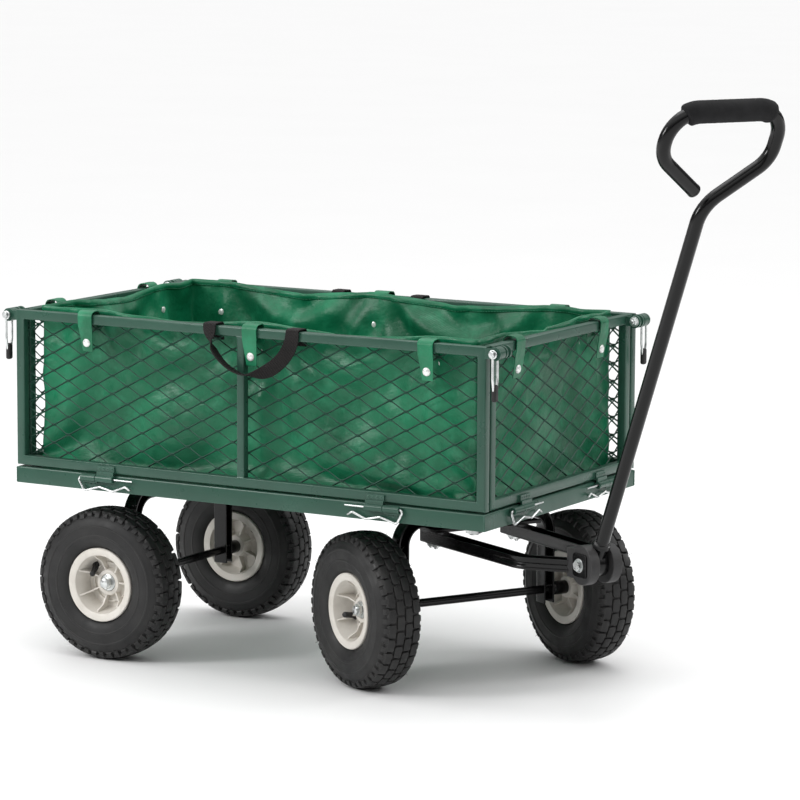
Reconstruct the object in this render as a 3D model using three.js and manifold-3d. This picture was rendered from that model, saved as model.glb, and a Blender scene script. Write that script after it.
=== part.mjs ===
// Four-wheeled garden cart: a steel tray on two axles, four fold-down mesh panels
// with a lift-out fabric liner, a steered front axle and a hinged pull handle.
// Millimetres. +X forward (towards the handle), +Y left, +Z up.
// The model is drawn about the point on the ground under the tray's centre and
// moved at the end, so that the origin is the bottom centre of its bounding box.
import * as THREE from 'three';
import { mergeVertices } from 'three/addons/utils/BufferGeometryUtils.js';
import Module from 'manifold-3d';

const wasm = await Module();
wasm.setup();

// ---------------------------------------------------------------- driving sizes
const TRAY_LENGTH = 910;
const TRAY_WIDTH = 524;
const SKIRT_HEIGHT = 28;
const PANEL_HEIGHT = 265;
const FRAME_TUBE = 16;
const WHEEL_DIAMETER = 260;
const TYRE_WIDTH = 79;
const RIM_DIAMETER = 126;
const WHEELBASE = 590;
const TRACK = 419;
const HANDLE_LENGTH = 815;
const HANDLE_TUBE_D = 22;
const STEER_ANGLE = THREE.MathUtils.degToRad(28.85);
const HANDLE_LEAN = THREE.MathUtils.degToRad(24.7);

// clearances
const GAP = 0.3;
const RUNNING_GAP = 0.5;
const HINGE_GAP = 0.6;
const WHEEL_HEADROOM = 36;

// ------------------------------------------------------------- positions tied to them
const HALF_L = TRAY_LENGTH / 2;
const HALF_W = TRAY_WIDTH / 2;
const WHEEL_R = WHEEL_DIAMETER / 2;
const SHEET = 2.5;
const SKIRT_BOTTOM = WHEEL_DIAMETER + WHEEL_HEADROOM;
const TRAY_TOP = SKIRT_BOTTOM + SKIRT_HEIGHT;
const FLANGE_WIDTH = 22;
const FLOOR_TOP = TRAY_TOP - SHEET - GAP;
const FLOOR_BOTTOM = FLOOR_TOP - SHEET;
const PANEL_BOTTOM = TRAY_TOP + 3;
const PANEL_TOP = PANEL_BOTTOM + PANEL_HEIGHT;
const MESH_THICKNESS = 2;
const MESH_OUTER = FRAME_TUBE + GAP;
const MESH_INNER = MESH_OUTER + MESH_THICKNESS;
const END_PANEL_HALF_W = HALF_W - MESH_INNER - 1.7;
const REAR_AXLE_X = -WHEELBASE / 2 - 5;
const KINGPIN_X = REAR_AXLE_X + WHEELBASE;

// axle arches: an inverted U of channel, open to the front
const ARCH_TO_TYRE = 27;
const ARCH_HALF_SPAN = TRACK / 2 - TYRE_WIDTH / 2 - ARCH_TO_TYRE;
const ARCH_DEPTH = 20;
const ARCH_WIDTH = 26;
const ARCH_WALL = 3;
const ARCH_TOP = SKIRT_BOTTOM - 16;
const ARCH_FOOT = WHEEL_R - 22;
const ARCH_BEND = 40;
const AXLE_R = 7;
const AXLE_PAD_HALF_W = ARCH_HALF_SPAN - 25;
const BOLSTER_HALF_W = ARCH_HALF_SPAN - 45;
const BOLSTER_THICKNESS = 10;
const BOLSTER_BOTTOM = ARCH_TOP - ARCH_DEPTH - BOLSTER_THICKNESS;
const KINGPIN_R = 8;

// drawbar, yoke and handle, in the steered front axle's own frame
const BAR_HALF_SPAN = ARCH_HALF_SPAN - 64;
const BAR_HEIGHT = 20;
const BAR_WIDTH = 27;
const BAR_WALL = 3;
const BAR_TOP = BOLSTER_BOTTOM - GAP;
const BAR_MID_Z = BAR_TOP - BAR_HEIGHT / 2;
const TRAY_OVERHANG = HALF_L - KINGPIN_X;
const YOKE_X = TRAY_OVERHANG + 201;
const YOKE_Z = BAR_TOP - 2.7;
const YOKE_R = 32;
const YOKE_BLOCK_HALF_H = 24;
const YOKE_MOUTH = 24;
const EAR_INNER = 12.5;
const EAR_OUTER = 29.5;
const YOKE_BACK = YOKE_X - 40;
const PIVOT_R = 6;

// hinges along the panels' feet: one eye on the panel, one knuckle on the tray beside it, on
// the side of the nearer corner, and a removable clip for a pin
const PIN_OFFSET = 6.4;
const PIN_DROP = 6;
const KNUCKLE_R = 6;
const CLIP_WIRE_R = 2;
const EYE_LENGTH = 34;
const KNUCKLE_LENGTH = 30;
const SIDE_HINGES = [185 - HALF_L, HALF_L - 200];
const END_HINGES = [130 - HALF_W, HALF_W - 130];

// corner latches
const LATCH_REACH = 15.5;
const LATCH_Z = PANEL_TOP - 10;
const LATCH_EAR_R = 11;
const LATCH_EAR_T = 4;
const LATCH_NECK = 8;
const LATCH_PIN_R = 4;

// fabric
const LINER_GAP = 4.7;
const LINER_HALF_L = HALF_L - MESH_INNER - LINER_GAP;
const LINER_HALF_W = HALF_W - MESH_INNER - LINER_GAP;
const LINER_WALL = 2.5;
const LINER_TOP = PANEL_TOP + 3;
const STRAP_T = 2;
const STRAP_W = 28;
const STRAP_DROP = 58;
const WEB_T = 2.5;
const WEB_W = 24;

// ---------------------------------------------------------------- materials
function material(color, roughness, metalness = 0) {
  return new THREE.MeshStandardMaterial({ color, roughness, metalness });
}
const greenPaint = material(0x24503f, 0.45, 0.2);
const blackPaint = material(0x17181a, 0.4, 0.2);
const zinc = material(0xb9c0bd, 0.35, 0.9);
const rubber = material(0x26272a, 0.9);
const creamPlastic = material(0xd6cfc4, 0.6);
const foam = material(0x2b2c2e, 0.95);
const tarpaulin = material(0x1f7a4d, 0.5);
const webbing = material(0x1c1a1b, 0.9);

// ---------------------------------------------------------------- solid helpers
function toManifold(geometry) {
  let g = geometry.clone();
  g.deleteAttribute('normal');
  g.deleteAttribute('uv');
  g = mergeVertices(g, 1e-4);
  const mesh = new wasm.Mesh({
    numProp: 3,
    vertProperties: new Float32Array(g.attributes.position.array),
    triVerts: new Uint32Array(g.index.array),
  });
  return new wasm.Manifold(mesh);
}

function toGeometry(manifold) {
  const mesh = manifold.getMesh();
  const geometry = new THREE.BufferGeometry();
  geometry.setAttribute('position', new THREE.BufferAttribute(mesh.vertProperties, 3));
  geometry.setIndex(new THREE.BufferAttribute(mesh.triVerts, 1));
  geometry.computeVertexNormals();
  return geometry;
}

function join(parts) {
  return parts.map(toManifold).reduce((sum, part) => sum.add(part));
}

function build(parts, cuts = []) {
  let body = join(parts);
  for (const cut of cuts) body = body.subtract(toManifold(cut));
  return toGeometry(body);
}

function block([x0, x1], [y0, y1], [z0, z1]) {
  const g = new THREE.BoxGeometry(x1 - x0, y1 - y0, z1 - z0);
  return g.translate((x0 + x1) / 2, (y0 + y1) / 2, (z0 + z1) / 2);
}

// a round bar between two points that lie along one axis
function bar(radius, from, to, sides = 16) {
  const a = new THREE.Vector3(...from);
  const b = new THREE.Vector3(...to);
  const direction = b.clone().sub(a);
  const g = new THREE.CylinderGeometry(radius, radius, direction.length(), sides);
  g.applyQuaternion(
    new THREE.Quaternion().setFromUnitVectors(new THREE.Vector3(0, 1, 0), direction.normalize()));
  return g.translate(...a.add(b).multiplyScalar(0.5).toArray());
}

// corners of a path rounded with arcs; each corner is [point, radius]
function roundedPath(corners, steps = 4) {
  const points = [];
  corners.forEach(([corner, radius], i) => {
    if (!radius || i === 0 || i === corners.length - 1) {
      points.push(corner.clone());
      return;
    }
    const before = corners[i - 1][0].clone().sub(corner).normalize();
    const after = corners[i + 1][0].clone().sub(corner).normalize();
    const half = before.angleTo(after) / 2;
    const toCentre = before.clone().add(after).normalize().multiplyScalar(radius / Math.sin(half));
    const centre = corner.clone().add(toCentre);
    const start = corner.clone().addScaledVector(before, radius / Math.tan(half)).sub(centre);
    const turn = Math.PI - 2 * half;
    const axis = before.clone().cross(after).normalize().negate();
    for (let k = 0; k <= steps; k++) {
      points.push(start.clone().applyAxisAngle(axis, (turn * k) / steps).add(centre));
    }
  });
  return points;
}

// a path in one plane, whose cross-sections keep their second axis along the plane's normal
class PlanarPath extends THREE.Curve {
  constructor(points, planeNormal) {
    super();
    this.points = points;
    this.planeNormal = planeNormal;
  }

  getSpacedPoints() {
    return this.points;
  }

  computeFrenetFrames() {
    const last = this.points.length - 1;
    const tangents = this.points.map((p, i) => {
      const next = this.points[Math.min(i + 1, last)];
      const previous = this.points[Math.max(i - 1, 0)];
      return next.clone().sub(previous).normalize();
    });
    const normals = tangents.map((t) => this.planeNormal.clone().cross(t).normalize());
    const binormals = tangents.map(() => this.planeNormal.clone());
    return { tangents, normals, binormals };
  }
}

function sweep(outline, points, planeNormal) {
  return new THREE.ExtrudeGeometry(new THREE.Shape(outline), {
    steps: points.length - 1,
    extrudePath: new PlanarPath(points, planeNormal),
  });
}

function circleOutline(radius, sides) {
  return Array.from({ length: sides }, (_, i) => {
    const angle = (2 * Math.PI * i) / sides;
    return new THREE.Vector2(radius * Math.cos(angle), radius * Math.sin(angle));
  });
}

// a channel's cross-section: web on the side of -v, mouth towards +v
function channelOutline(depth, width, wall) {
  const u = depth / 2;
  const v = width / 2;
  return [
    [-u, -v], [u, -v], [u, v], [u - wall, v],
    [u - wall, wall - v], [wall - u, wall - v], [wall - u, v], [-u, v],
  ].map(([a, b]) => new THREE.Vector2(a, b));
}

// a ring turned about the Y axis from a closed outline of [radius, y] points
function turned(outline, sides) {
  const points = outline.map(([r, y]) => new THREE.Vector2(r, y));
  if (THREE.ShapeUtils.isClockWise(points)) points.reverse();
  points.push(points[0].clone());
  return new THREE.LatheGeometry(points, sides);
}

function named(name, geometry, mat) {
  const mesh = new THREE.Mesh(geometry, mat);
  mesh.name = name;
  return mesh;
}

const X = new THREE.Vector3(1, 0, 0);
const Y = new THREE.Vector3(0, 1, 0);
const at = (x, y, z) => new THREE.Vector3(x, y, z);

const cart = new THREE.Group();
cart.name = 'garden_cart';

// ---------------------------------------------------------------- panel hinges
// Hinges are drawn on a panel that lies along X with its outer face at y = 0, facing -Y,
// and are turned to the side they belong to.
const SIDES = [
  { name: 'right', turn: 0, face: HALF_W, hinges: SIDE_HINGES, half: HALF_L },
  { name: 'left', turn: Math.PI, face: HALF_W, hinges: SIDE_HINGES.map((x) => -x), half: HALF_L },
  { name: 'front', turn: Math.PI / 2, face: HALF_L, hinges: END_HINGES, half: END_PANEL_HALF_W },
  { name: 'rear', turn: -Math.PI / 2, face: HALF_L, hinges: END_HINGES, half: END_PANEL_HALF_W },
];

function onSide(geometry, side) {
  return geometry.translate(0, -side.face, 0).rotateZ(side.turn);
}

const PIN_Z = TRAY_TOP - PIN_DROP;

function trayKnuckles(side) {
  const stripHalf = 3;
  return side.hinges.flatMap((hinge) => {
    const direction = Math.sign(hinge);
    const near = hinge + direction * (EYE_LENGTH / 2 + HINGE_GAP);
    const far = near + direction * KNUCKLE_LENGTH;
    return [
      bar(KNUCKLE_R, [near, -PIN_OFFSET, PIN_Z], [far, -PIN_OFFSET, PIN_Z], 8),
      block([Math.min(near, far), Math.max(near, far)], [-PIN_OFFSET, 1],
        [PIN_Z - stripHalf, PIN_Z + stripHalf]),
    ];
  }).map((g) => onSide(g, side));
}

function pinHoles(side) {
  const reach = EYE_LENGTH / 2 + HINGE_GAP + KNUCKLE_LENGTH + 2;
  return side.hinges.map((hinge) => onSide(
    bar(CLIP_WIRE_R + HINGE_GAP, [hinge - reach, -PIN_OFFSET, PIN_Z],
      [hinge + reach, -PIN_OFFSET, PIN_Z], 8), side));
}

// ---------------------------------------------------------------- tray
function trayRim() {
  const outer = block([-HALF_L, HALF_L], [-HALF_W, HALF_W], [SKIRT_BOTTOM, TRAY_TOP]);
  const under = block([SHEET - HALF_L, HALF_L - SHEET], [SHEET - HALF_W, HALF_W - SHEET],
    [SKIRT_BOTTOM - 1, TRAY_TOP - SHEET]);
  const opening = block([FLANGE_WIDTH - HALF_L, HALF_L - FLANGE_WIDTH],
    [FLANGE_WIDTH - HALF_W, HALF_W - FLANGE_WIDTH], [SKIRT_BOTTOM, TRAY_TOP + 1]);
  let rim = toManifold(outer).subtract(toManifold(under)).subtract(toManifold(opening));
  for (const side of SIDES) rim = rim.add(join(trayKnuckles(side)));
  for (const hole of SIDES.flatMap(pinHoles)) rim = rim.subtract(toManifold(hole));
  return toGeometry(rim);
}

function trayFloor() {
  const x = HALF_L - SHEET - GAP;
  const y = HALF_W - SHEET - GAP;
  return block([-x, x], [-y, y], [FLOOR_BOTTOM, FLOOR_TOP]);
}

// a beam from rim to rim with a deeper pad in the middle, where the axle is bolted
function crossbar(x, boreRadius) {
  const beamTop = FLOOR_BOTTOM - GAP;
  const beamHalfL = 25;
  const beamHeight = 20;
  const padHalfL = 36;
  const y = HALF_W - SHEET - GAP;
  const parts = [
    block([x - beamHalfL, x + beamHalfL], [-y, y], [beamTop - beamHeight, beamTop]),
    block([x - padHalfL, x + padHalfL], [-AXLE_PAD_HALF_W, AXLE_PAD_HALF_W],
      [ARCH_TOP + GAP, beamTop]),
  ];
  const cuts = boreRadius ? [bar(boreRadius, [x, 0, ARCH_TOP - 1], [x, 0, beamTop + 1], 20)] : [];
  return build(parts, cuts);
}

cart.add(
  named('tray_rim', trayRim(), greenPaint),
  named('tray_floor', trayFloor(), greenPaint),
  named('crossbar_rear', crossbar(REAR_AXLE_X, 0), greenPaint),
);

// ---------------------------------------------------------------- axles and wheels
cart.add(named('crossbar_front', crossbar(KINGPIN_X, KINGPIN_R + GAP), greenPaint));

function arch({ bolster }) {
  const mid = ARCH_DEPTH / 2;
  const path = roundedPath([
    [at(0, -ARCH_HALF_SPAN, ARCH_FOOT)],
    [at(0, -ARCH_HALF_SPAN, ARCH_TOP - mid), ARCH_BEND],
    [at(0, ARCH_HALF_SPAN, ARCH_TOP - mid), ARCH_BEND],
    [at(0, ARCH_HALF_SPAN, ARCH_FOOT)],
  ], 6);
  const parts = [sweep(channelOutline(ARCH_DEPTH, ARCH_WIDTH, ARCH_WALL), path, X)];
  const end = ARCH_HALF_SPAN + ARCH_DEPTH;
  const cuts = [bar(AXLE_R + GAP, [0, -end, WHEEL_R], [0, end, WHEEL_R], 20)];
  if (bolster) {
    parts.push(block([-ARCH_WIDTH / 2, ARCH_WIDTH / 2], [-BOLSTER_HALF_W, BOLSTER_HALF_W],
      [BOLSTER_BOTTOM, ARCH_TOP - ARCH_DEPTH + 1]));
    cuts.push(bar(KINGPIN_R + GAP, [0, 0, BOLSTER_BOTTOM - 1], [0, 0, ARCH_TOP + 1], 20));
  }
  return build(parts, cuts);
}

const RIM_LIP_R = RIM_DIAMETER / 2;
const BEAD_R = RIM_LIP_R - 6;
const BEAD_Y = TYRE_WIDTH * 0.36;
const WHEEL_SIDES = 24;

// hub outer face, measured outwards from the wheel's middle
const HUB_FACE = 8;
const HUB_BACK = -TRACK / 2 + ARCH_HALF_SPAN + ARCH_DEPTH / 2 + RUNNING_GAP;
const NUT_T = 9;
const AXLE_END = TRACK / 2 + HUB_FACE + NUT_T + 4;
const NUT_R = 11;

function axleRod() {
  return bar(AXLE_R, [0, -AXLE_END, WHEEL_R], [0, AXLE_END, WHEEL_R], 16);
}

function tyre() {
  const half = TYRE_WIDTH / 2;
  const lip = RIM_LIP_R + GAP;
  const wall = RIM_LIP_R + 8;
  return turned([
    [BEAD_R, -BEAD_Y], [BEAD_R, BEAD_Y], [lip, BEAD_Y], [wall, half * 0.9],
    [WHEEL_R * 0.7, half], [WHEEL_R * 0.86, half * 0.98], [WHEEL_R * 0.95, half * 0.8],
    [WHEEL_R, half * 0.4], [WHEEL_R, -half * 0.4], [WHEEL_R * 0.95, -half * 0.8],
    [WHEEL_R * 0.86, -half * 0.98], [WHEEL_R * 0.7, -half], [wall, -half * 0.9], [lip, -BEAD_Y],
  ], WHEEL_SIDES);
}

// the rim's outline at +y: lip, well and web, with a hub that is short on the outer side
function rim() {
  const seat = BEAD_R - GAP;
  const seatY = BEAD_Y + GAP;
  const lipY = (TYRE_WIDTH / 2) * 0.86;
  const barrelR = RIM_LIP_R - 19;
  const hubR = 22;
  const bore = AXLE_R + GAP;
  const [webBack, webFront] = [-9, -5];
  const disc = turned([
    [bore, HUB_BACK], [hubR, HUB_BACK], [hubR, webBack], [barrelR, webBack], [barrelR, -lipY],
    [RIM_LIP_R, -lipY], [RIM_LIP_R, -seatY], [seat, -seatY], [seat, seatY], [RIM_LIP_R, seatY],
    [RIM_LIP_R, lipY], [barrelR, lipY], [barrelR, webFront], [hubR, webFront],
    [hubR, HUB_FACE], [bore, HUB_FACE],
  ], WHEEL_SIDES);
  const ribs = [];
  const ribCount = 7;
  const ribHalfT = 1.75;
  for (let i = 0; i < ribCount; i++) {
    const rib = block([hubR - 2, barrelR + 2], [webFront - 1, HUB_FACE - 2], [-ribHalfT, ribHalfT]);
    ribs.push(rib.rotateY((2 * Math.PI * i) / ribCount));
  }
  return build([disc, ...ribs]);
}

function nut(outward) {
  const face = TRACK / 2 + HUB_FACE + RUNNING_GAP;
  return build(
    [bar(NUT_R, [0, outward * face, WHEEL_R], [0, outward * (face + NUT_T), WHEEL_R], 6)],
    [bar(AXLE_R + GAP, [0, outward * (face - 1), WHEEL_R], [0, outward * (face + NUT_T + 1), WHEEL_R])]);
}

function addAxle(group, end, options) {
  group.add(named(`${end}_arch`, arch(options), blackPaint));
  group.add(named(`${end}_axle_rod`, axleRod(), blackPaint));
  for (const [side, outward] of [['right', -1], ['left', 1]]) {
    const wheel = new THREE.Group();
    wheel.position.set(0, outward * TRACK / 2, WHEEL_R);
    wheel.rotation.z = outward > 0 ? 0 : Math.PI;
    wheel.add(named(`tyre_${end}_${side}`, tyre(), rubber));
    wheel.add(named(`rim_${end}_${side}`, rim(), creamPlastic));
    group.add(wheel);
    group.add(named(`axle_nut_${end}_${side}`, nut(outward), zinc));
  }
}

const rearAxle = new THREE.Group();
rearAxle.position.x = REAR_AXLE_X;
addAxle(rearAxle, 'rear', { bolster: false });

const steering = new THREE.Group();
steering.position.x = KINGPIN_X;
steering.rotation.z = -STEER_ANGLE;
addAxle(steering, 'front', { bolster: true });
cart.add(rearAxle, steering);

function kingpin() {
  const nutTop = BOLSTER_BOTTOM - RUNNING_GAP;
  const nutR = 14;
  const nutBottom = nutTop - 10.5;
  return build([
    bar(KINGPIN_R, [KINGPIN_X, 0, nutBottom - 3], [KINGPIN_X, 0, FLOOR_BOTTOM - 4], 16),
    bar(nutR, [KINGPIN_X, 0, nutBottom], [KINGPIN_X, 0, nutTop], 6),
  ]);
}
cart.add(named('kingpin', kingpin(), zinc));

// ---------------------------------------------------------------- drawbar and yoke
// each bar runs forward from behind the axle, then curves in to the yoke's back
function drawbar(side) {
  const rearEnd = -22;
  const bendX = YOKE_BACK - 64;
  const yokeFace = YOKE_BACK - GAP;
  const path = roundedPath([
    [at(rearEnd, side * BAR_HALF_SPAN, BAR_MID_Z)],
    [at(bendX, side * (BAR_HALF_SPAN - 7), BAR_MID_Z), 45],
    [at(yokeFace + 6, side * 11.5, BAR_MID_Z)],
  ], 6);
  const g = sweep(channelOutline(BAR_WIDTH, BAR_HEIGHT, BAR_WALL), path, at(0, 0, 1));
  const wide = BAR_HALF_SPAN + BAR_WIDTH;
  const height = [BAR_MID_Z - BAR_HEIGHT, BAR_MID_Z + BAR_HEIGHT];
  const pastYoke = block([yokeFace, YOKE_X], [-wide, wide], height);
  const pastMiddle = block([bendX, YOKE_X], side > 0 ? [-wide, GAP] : [-GAP, wide], height);
  return build([g], [pastYoke, pastMiddle]);
}

// a block with a round nose, slotted for the foot of the handle
function yoke() {
  const z = YOKE_Z;
  const outer = [-EAR_OUTER, EAR_OUTER];
  const parts = [
    bar(YOKE_R, [YOKE_X, -EAR_OUTER, z], [YOKE_X, EAR_OUTER, z], 28),
    block([YOKE_BACK, YOKE_X], outer, [z - YOKE_BLOCK_HALF_H, z + YOKE_BLOCK_HALF_H]),
  ];
  const cuts = [
    block([YOKE_X - YOKE_MOUTH, YOKE_X + YOKE_R + 1], [-EAR_INNER, EAR_INNER],
      [z - YOKE_R - 1, z + YOKE_R + 1]),
    bar(PIVOT_R + GAP, [YOKE_X, -EAR_OUTER - 1, z], [YOKE_X, EAR_OUTER + 1, z], 16),
  ];
  return build(parts, cuts);
}

function pivotBolt() {
  const face = EAR_OUTER + GAP;
  const headR = 10;
  const headT = 6;
  return build([
    bar(PIVOT_R, [YOKE_X, -face - 1, YOKE_Z], [YOKE_X, face + 1, YOKE_Z], 14),
    bar(headR, [YOKE_X, -face - headT, YOKE_Z], [YOKE_X, -face, YOKE_Z], 6),
    bar(headR, [YOKE_X, face, YOKE_Z], [YOKE_X, face + headT, YOKE_Z], 6),
  ]);
}

steering.add(
  named('drawbar_right', drawbar(-1), blackPaint),
  named('drawbar_left', drawbar(1), blackPaint),
  named('yoke', yoke(), blackPaint),
  named('handle_bolt', pivotBolt(), zinc),
);

// ---------------------------------------------------------------- pull handle
// drawn upright from its pivot, with the loop in the YZ plane
const LOOP_HALF_W = 102;
const LOOP_BEND_R = 48;
const SHAFT_BEND_R = 60;
const GRIP_R = 17.5;
const FOOT_R = 20;
const BEND_STEPS = 6;

// the loop's corners, from the straight shaft round to the open end beside it
function handlePath() {
  const top = HANDLE_LENGTH;
  return roundedPath([
    [at(0, 0, 12)],
    [at(0, 0, top - 163), SHAFT_BEND_R],
    [at(0, LOOP_HALF_W, top - 86), LOOP_BEND_R],
    [at(0, LOOP_HALF_W, top), LOOP_BEND_R],
    [at(0, -LOOP_HALF_W, top), LOOP_BEND_R],
    [at(0, -LOOP_HALF_W, top - 74), LOOP_BEND_R],
    [at(0, -23, top - 135)],
  ], BEND_STEPS);
}

function handle() {
  const boss = EAR_INNER - RUNNING_GAP;
  return build(
    [
      sweep(circleOutline(HANDLE_TUBE_D / 2, 12), handlePath(), X),
      bar(FOOT_R, [0, -boss, 0], [0, boss, 0], 24),
    ],
    [bar(PIVOT_R + GAP, [0, -boss - 1, 0], [0, boss + 1, 0], 16)]);
}

// the grip covers the top bar and runs a little way into the bend at each end
function grip() {
  const path = handlePath();
  const bendsBefore = 3;
  const barStart = bendsBefore * (BEND_STEPS + 1);
  const barEnd = barStart + 1;
  const into = 2;
  const sleeve = sweep(circleOutline(GRIP_R, 16), path.slice(barStart - into, barEnd + into + 1), X);
  const bore = sweep(circleOutline(HANDLE_TUBE_D / 2 + GAP, 12),
    path.slice(barStart - into - 1, barEnd + into + 2), X);
  return build([sleeve], [bore]);
}

const pullHandle = new THREE.Group();
pullHandle.position.set(YOKE_X, 0, YOKE_Z);
pullHandle.rotation.y = HANDLE_LEAN;
pullHandle.add(
  named('handle', handle(), blackPaint),
  named('handle_grip', grip(), foam),
);
steering.add(pullHandle);

// ---------------------------------------------------------------- fold-down panels
// how far behind the tray's middle the side panels' middle post stands
const MIDDLE_POST = 5;

// the blocks that cut a panel's frame open, between its end posts and any middle posts
function windowBlocks(half, posts) {
  const postHalf = 7;
  const edges = [-half, ...posts, half];
  const openings = [];
  for (let i = 0; i + 1 < edges.length; i++) {
    const from = edges[i] + (i === 0 ? FRAME_TUBE : postHalf);
    const to = edges[i + 1] - (i + 2 === edges.length ? FRAME_TUBE : postHalf);
    openings.push(block([from, to], [-1, FRAME_TUBE + 1],
      [PANEL_BOTTOM + FRAME_TUBE, PANEL_TOP - FRAME_TUBE]));
  }
  return openings;
}

// the eye that turns on the pin, and the strip that carries it up onto the bottom rail
function eyes(side) {
  const tabTop = PANEL_BOTTOM + 12;
  return side.hinges.flatMap((hinge) => {
    const [from, to] = [hinge - EYE_LENGTH / 2, hinge + EYE_LENGTH / 2];
    return [
      bar(KNUCKLE_R, [from, -PIN_OFFSET, PIN_Z], [to, -PIN_OFFSET, PIN_Z], 8),
      block([from, to], [-PIN_OFFSET, 3 - PIN_OFFSET], [PIN_Z, tabTop]),
      block([from, to], [-PIN_OFFSET, 1], [PANEL_BOTTOM + 2, tabTop]),
    ];
  });
}

// a round-ended ear in the XZ plane, reaching out past the panel's end
function latchEar(x, direction, [y0, y1]) {
  const tip = x + direction * LATCH_REACH;
  const root = x - direction * 2;
  return [
    bar(LATCH_EAR_R, [tip, y0, LATCH_Z], [tip, y1, LATCH_Z], 16),
    block([Math.min(root, tip), Math.max(root, tip)], [y0, y1],
      [LATCH_Z - LATCH_NECK, LATCH_Z + LATCH_NECK]),
  ];
}

// side panels: a middle post, and an ear at each end for the latch
function sidePanel(side) {
  const parts = [
    block([-side.half, side.half], [0, FRAME_TUBE], [PANEL_BOTTOM, PANEL_TOP]),
    ...eyes(side),
  ];
  const postX = side.turn ? MIDDLE_POST : -MIDDLE_POST;
  const cuts = windowBlocks(side.half, [postX]);
  for (const direction of [-1, 1]) {
    const x = direction * side.half;
    const tip = x + direction * LATCH_REACH;
    parts.push(...latchEar(x, direction, [0, LATCH_EAR_T]));
    cuts.push(bar(LATCH_PIN_R + GAP, [tip, -1, LATCH_Z], [tip, LATCH_EAR_T + 1, LATCH_Z], 12));
  }
  return onSide(build(parts, [...cuts, ...localPinHoles(side)]), side);
}

// end panels: an ear beside each corner post, carrying half of the latch's barrel
function endPanel(side) {
  const parts = [
    block([-side.half, side.half], [0, FRAME_TUBE], [PANEL_BOTTOM, PANEL_TOP]),
    ...eyes(side),
  ];
  const boltR = 5;
  const boltLength = 7;
  for (const direction of [-1, 1]) {
    const x = direction * side.half;
    const ear = x - direction * FRAME_TUBE;
    const earBack = ear + direction * LATCH_EAR_T;
    parts.push(
      bar(LATCH_EAR_R, [ear, -LATCH_REACH, LATCH_Z], [x, -LATCH_REACH, LATCH_Z], 16),
      block([Math.min(ear, earBack), Math.max(ear, earBack)], [-LATCH_REACH, 2],
        [LATCH_Z - LATCH_NECK, LATCH_Z + LATCH_NECK]),
      bar(boltR, [ear - direction * boltLength, -LATCH_REACH, LATCH_Z],
        [ear, -LATCH_REACH, LATCH_Z], 8));
  }
  return onSide(build(parts, [...windowBlocks(side.half, []), ...localPinHoles(side)]), side);
}

function localPinHoles(side) {
  return side.hinges.map((hinge) => bar(CLIP_WIRE_R + HINGE_GAP,
    [hinge - EYE_LENGTH, -PIN_OFFSET, PIN_Z], [hinge + EYE_LENGTH, -PIN_OFFSET, PIN_Z], 8));
}

// the mesh is one sheet, welded to the inside of the frame
function meshSheet(side) {
  const overlap = FRAME_TUBE - 6;
  const half = side.half - overlap;
  return onSide(block([-half, half], [MESH_OUTER, MESH_INNER],
    [PANEL_BOTTOM + overlap, PANEL_TOP - overlap]), side);
}

for (const side of SIDES) {
  const isEnd = side.face === HALF_L;
  cart.add(named(`panel_${side.name}`, isEnd ? endPanel(side) : sidePanel(side), greenPaint));
  cart.add(named(`mesh_${side.name}`, meshSheet(side), greenPaint));
}

// ---------------------------------------------------------------- hinge clips
// A hairpin of wire: the straight leg is the hinge's pin, the wavy leg hangs below it.
// "bend" is the side (-1 or 1) on which the closed end lies.
function hingeClip(side, hinge, bend) {
  const corner = (along, down, radius) => [
    at(hinge + bend * along, -PIN_OFFSET, PIN_Z - down), radius];
  const path = roundedPath([
    corner(-55, 0), corner(55, 0, 4), corner(42, 23, 5), corner(11, 14, 8),
    corner(-16, 20, 8), corner(-41, 10, 5), corner(-50, 15.5),
  ], 2);
  return onSide(sweep(circleOutline(CLIP_WIRE_R, 6), path, Y), side);
}

for (const side of SIDES) {
  side.hinges.forEach((hinge, i) => {
    const bend = Math.sign(hinge);
    cart.add(named(`clip_${side.name}_${i + 1}`, hingeClip(side, hinge, bend), zinc));
  });
}

// ---------------------------------------------------------------- corner latches
// A cross pin in the side panel's ear, its barrel, and a wire bail with a sleeved end.
function latch(side, direction) {
  const x = direction * (side.half + LATCH_REACH);
  const wireOffset = 5.5;
  const outerWire = -wireOffset;
  const innerWire = LATCH_EAR_T + wireOffset;
  const bailBottom = LATCH_Z - 78;
  const sleeveLength = 25;
  const sleeveHalfT = 4;
  const headR = 7;
  const barrelEnd = HALF_W - END_PANEL_HALF_W - 1;
  const wire = sweep(circleOutline(1.75, 6), roundedPath([
    [at(x, outerWire, LATCH_Z)], [at(x, outerWire, bailBottom), 5],
    [at(x, innerWire, bailBottom), 5], [at(x, innerWire, LATCH_Z)],
  ], 3), X);
  return onSide(build([
    bar(LATCH_PIN_R, [x, -9, LATCH_Z], [x, barrelEnd - 1, LATCH_Z], 12),
    bar(headR, [x, -12, LATCH_Z], [x, -8, LATCH_Z], 6),
    bar(LATCH_EAR_R, [x, LATCH_EAR_T + GAP, LATCH_Z], [x, barrelEnd, LATCH_Z], 16),
    wire,
    block([x - sleeveHalfT, x + sleeveHalfT], [outerWire - 3, innerWire + 3],
      [bailBottom - 3, bailBottom - 3 + sleeveLength]),
  ]), side);
}

for (const side of SIDES.filter((s) => s.face === HALF_W)) {
  for (const direction of [-1, 1]) {
    const end = direction * (side.turn ? -1 : 1) > 0 ? 'front' : 'rear';
    cart.add(named(`latch_${end}_${side.name}`, latch(side, direction), zinc));
  }
}

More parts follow.
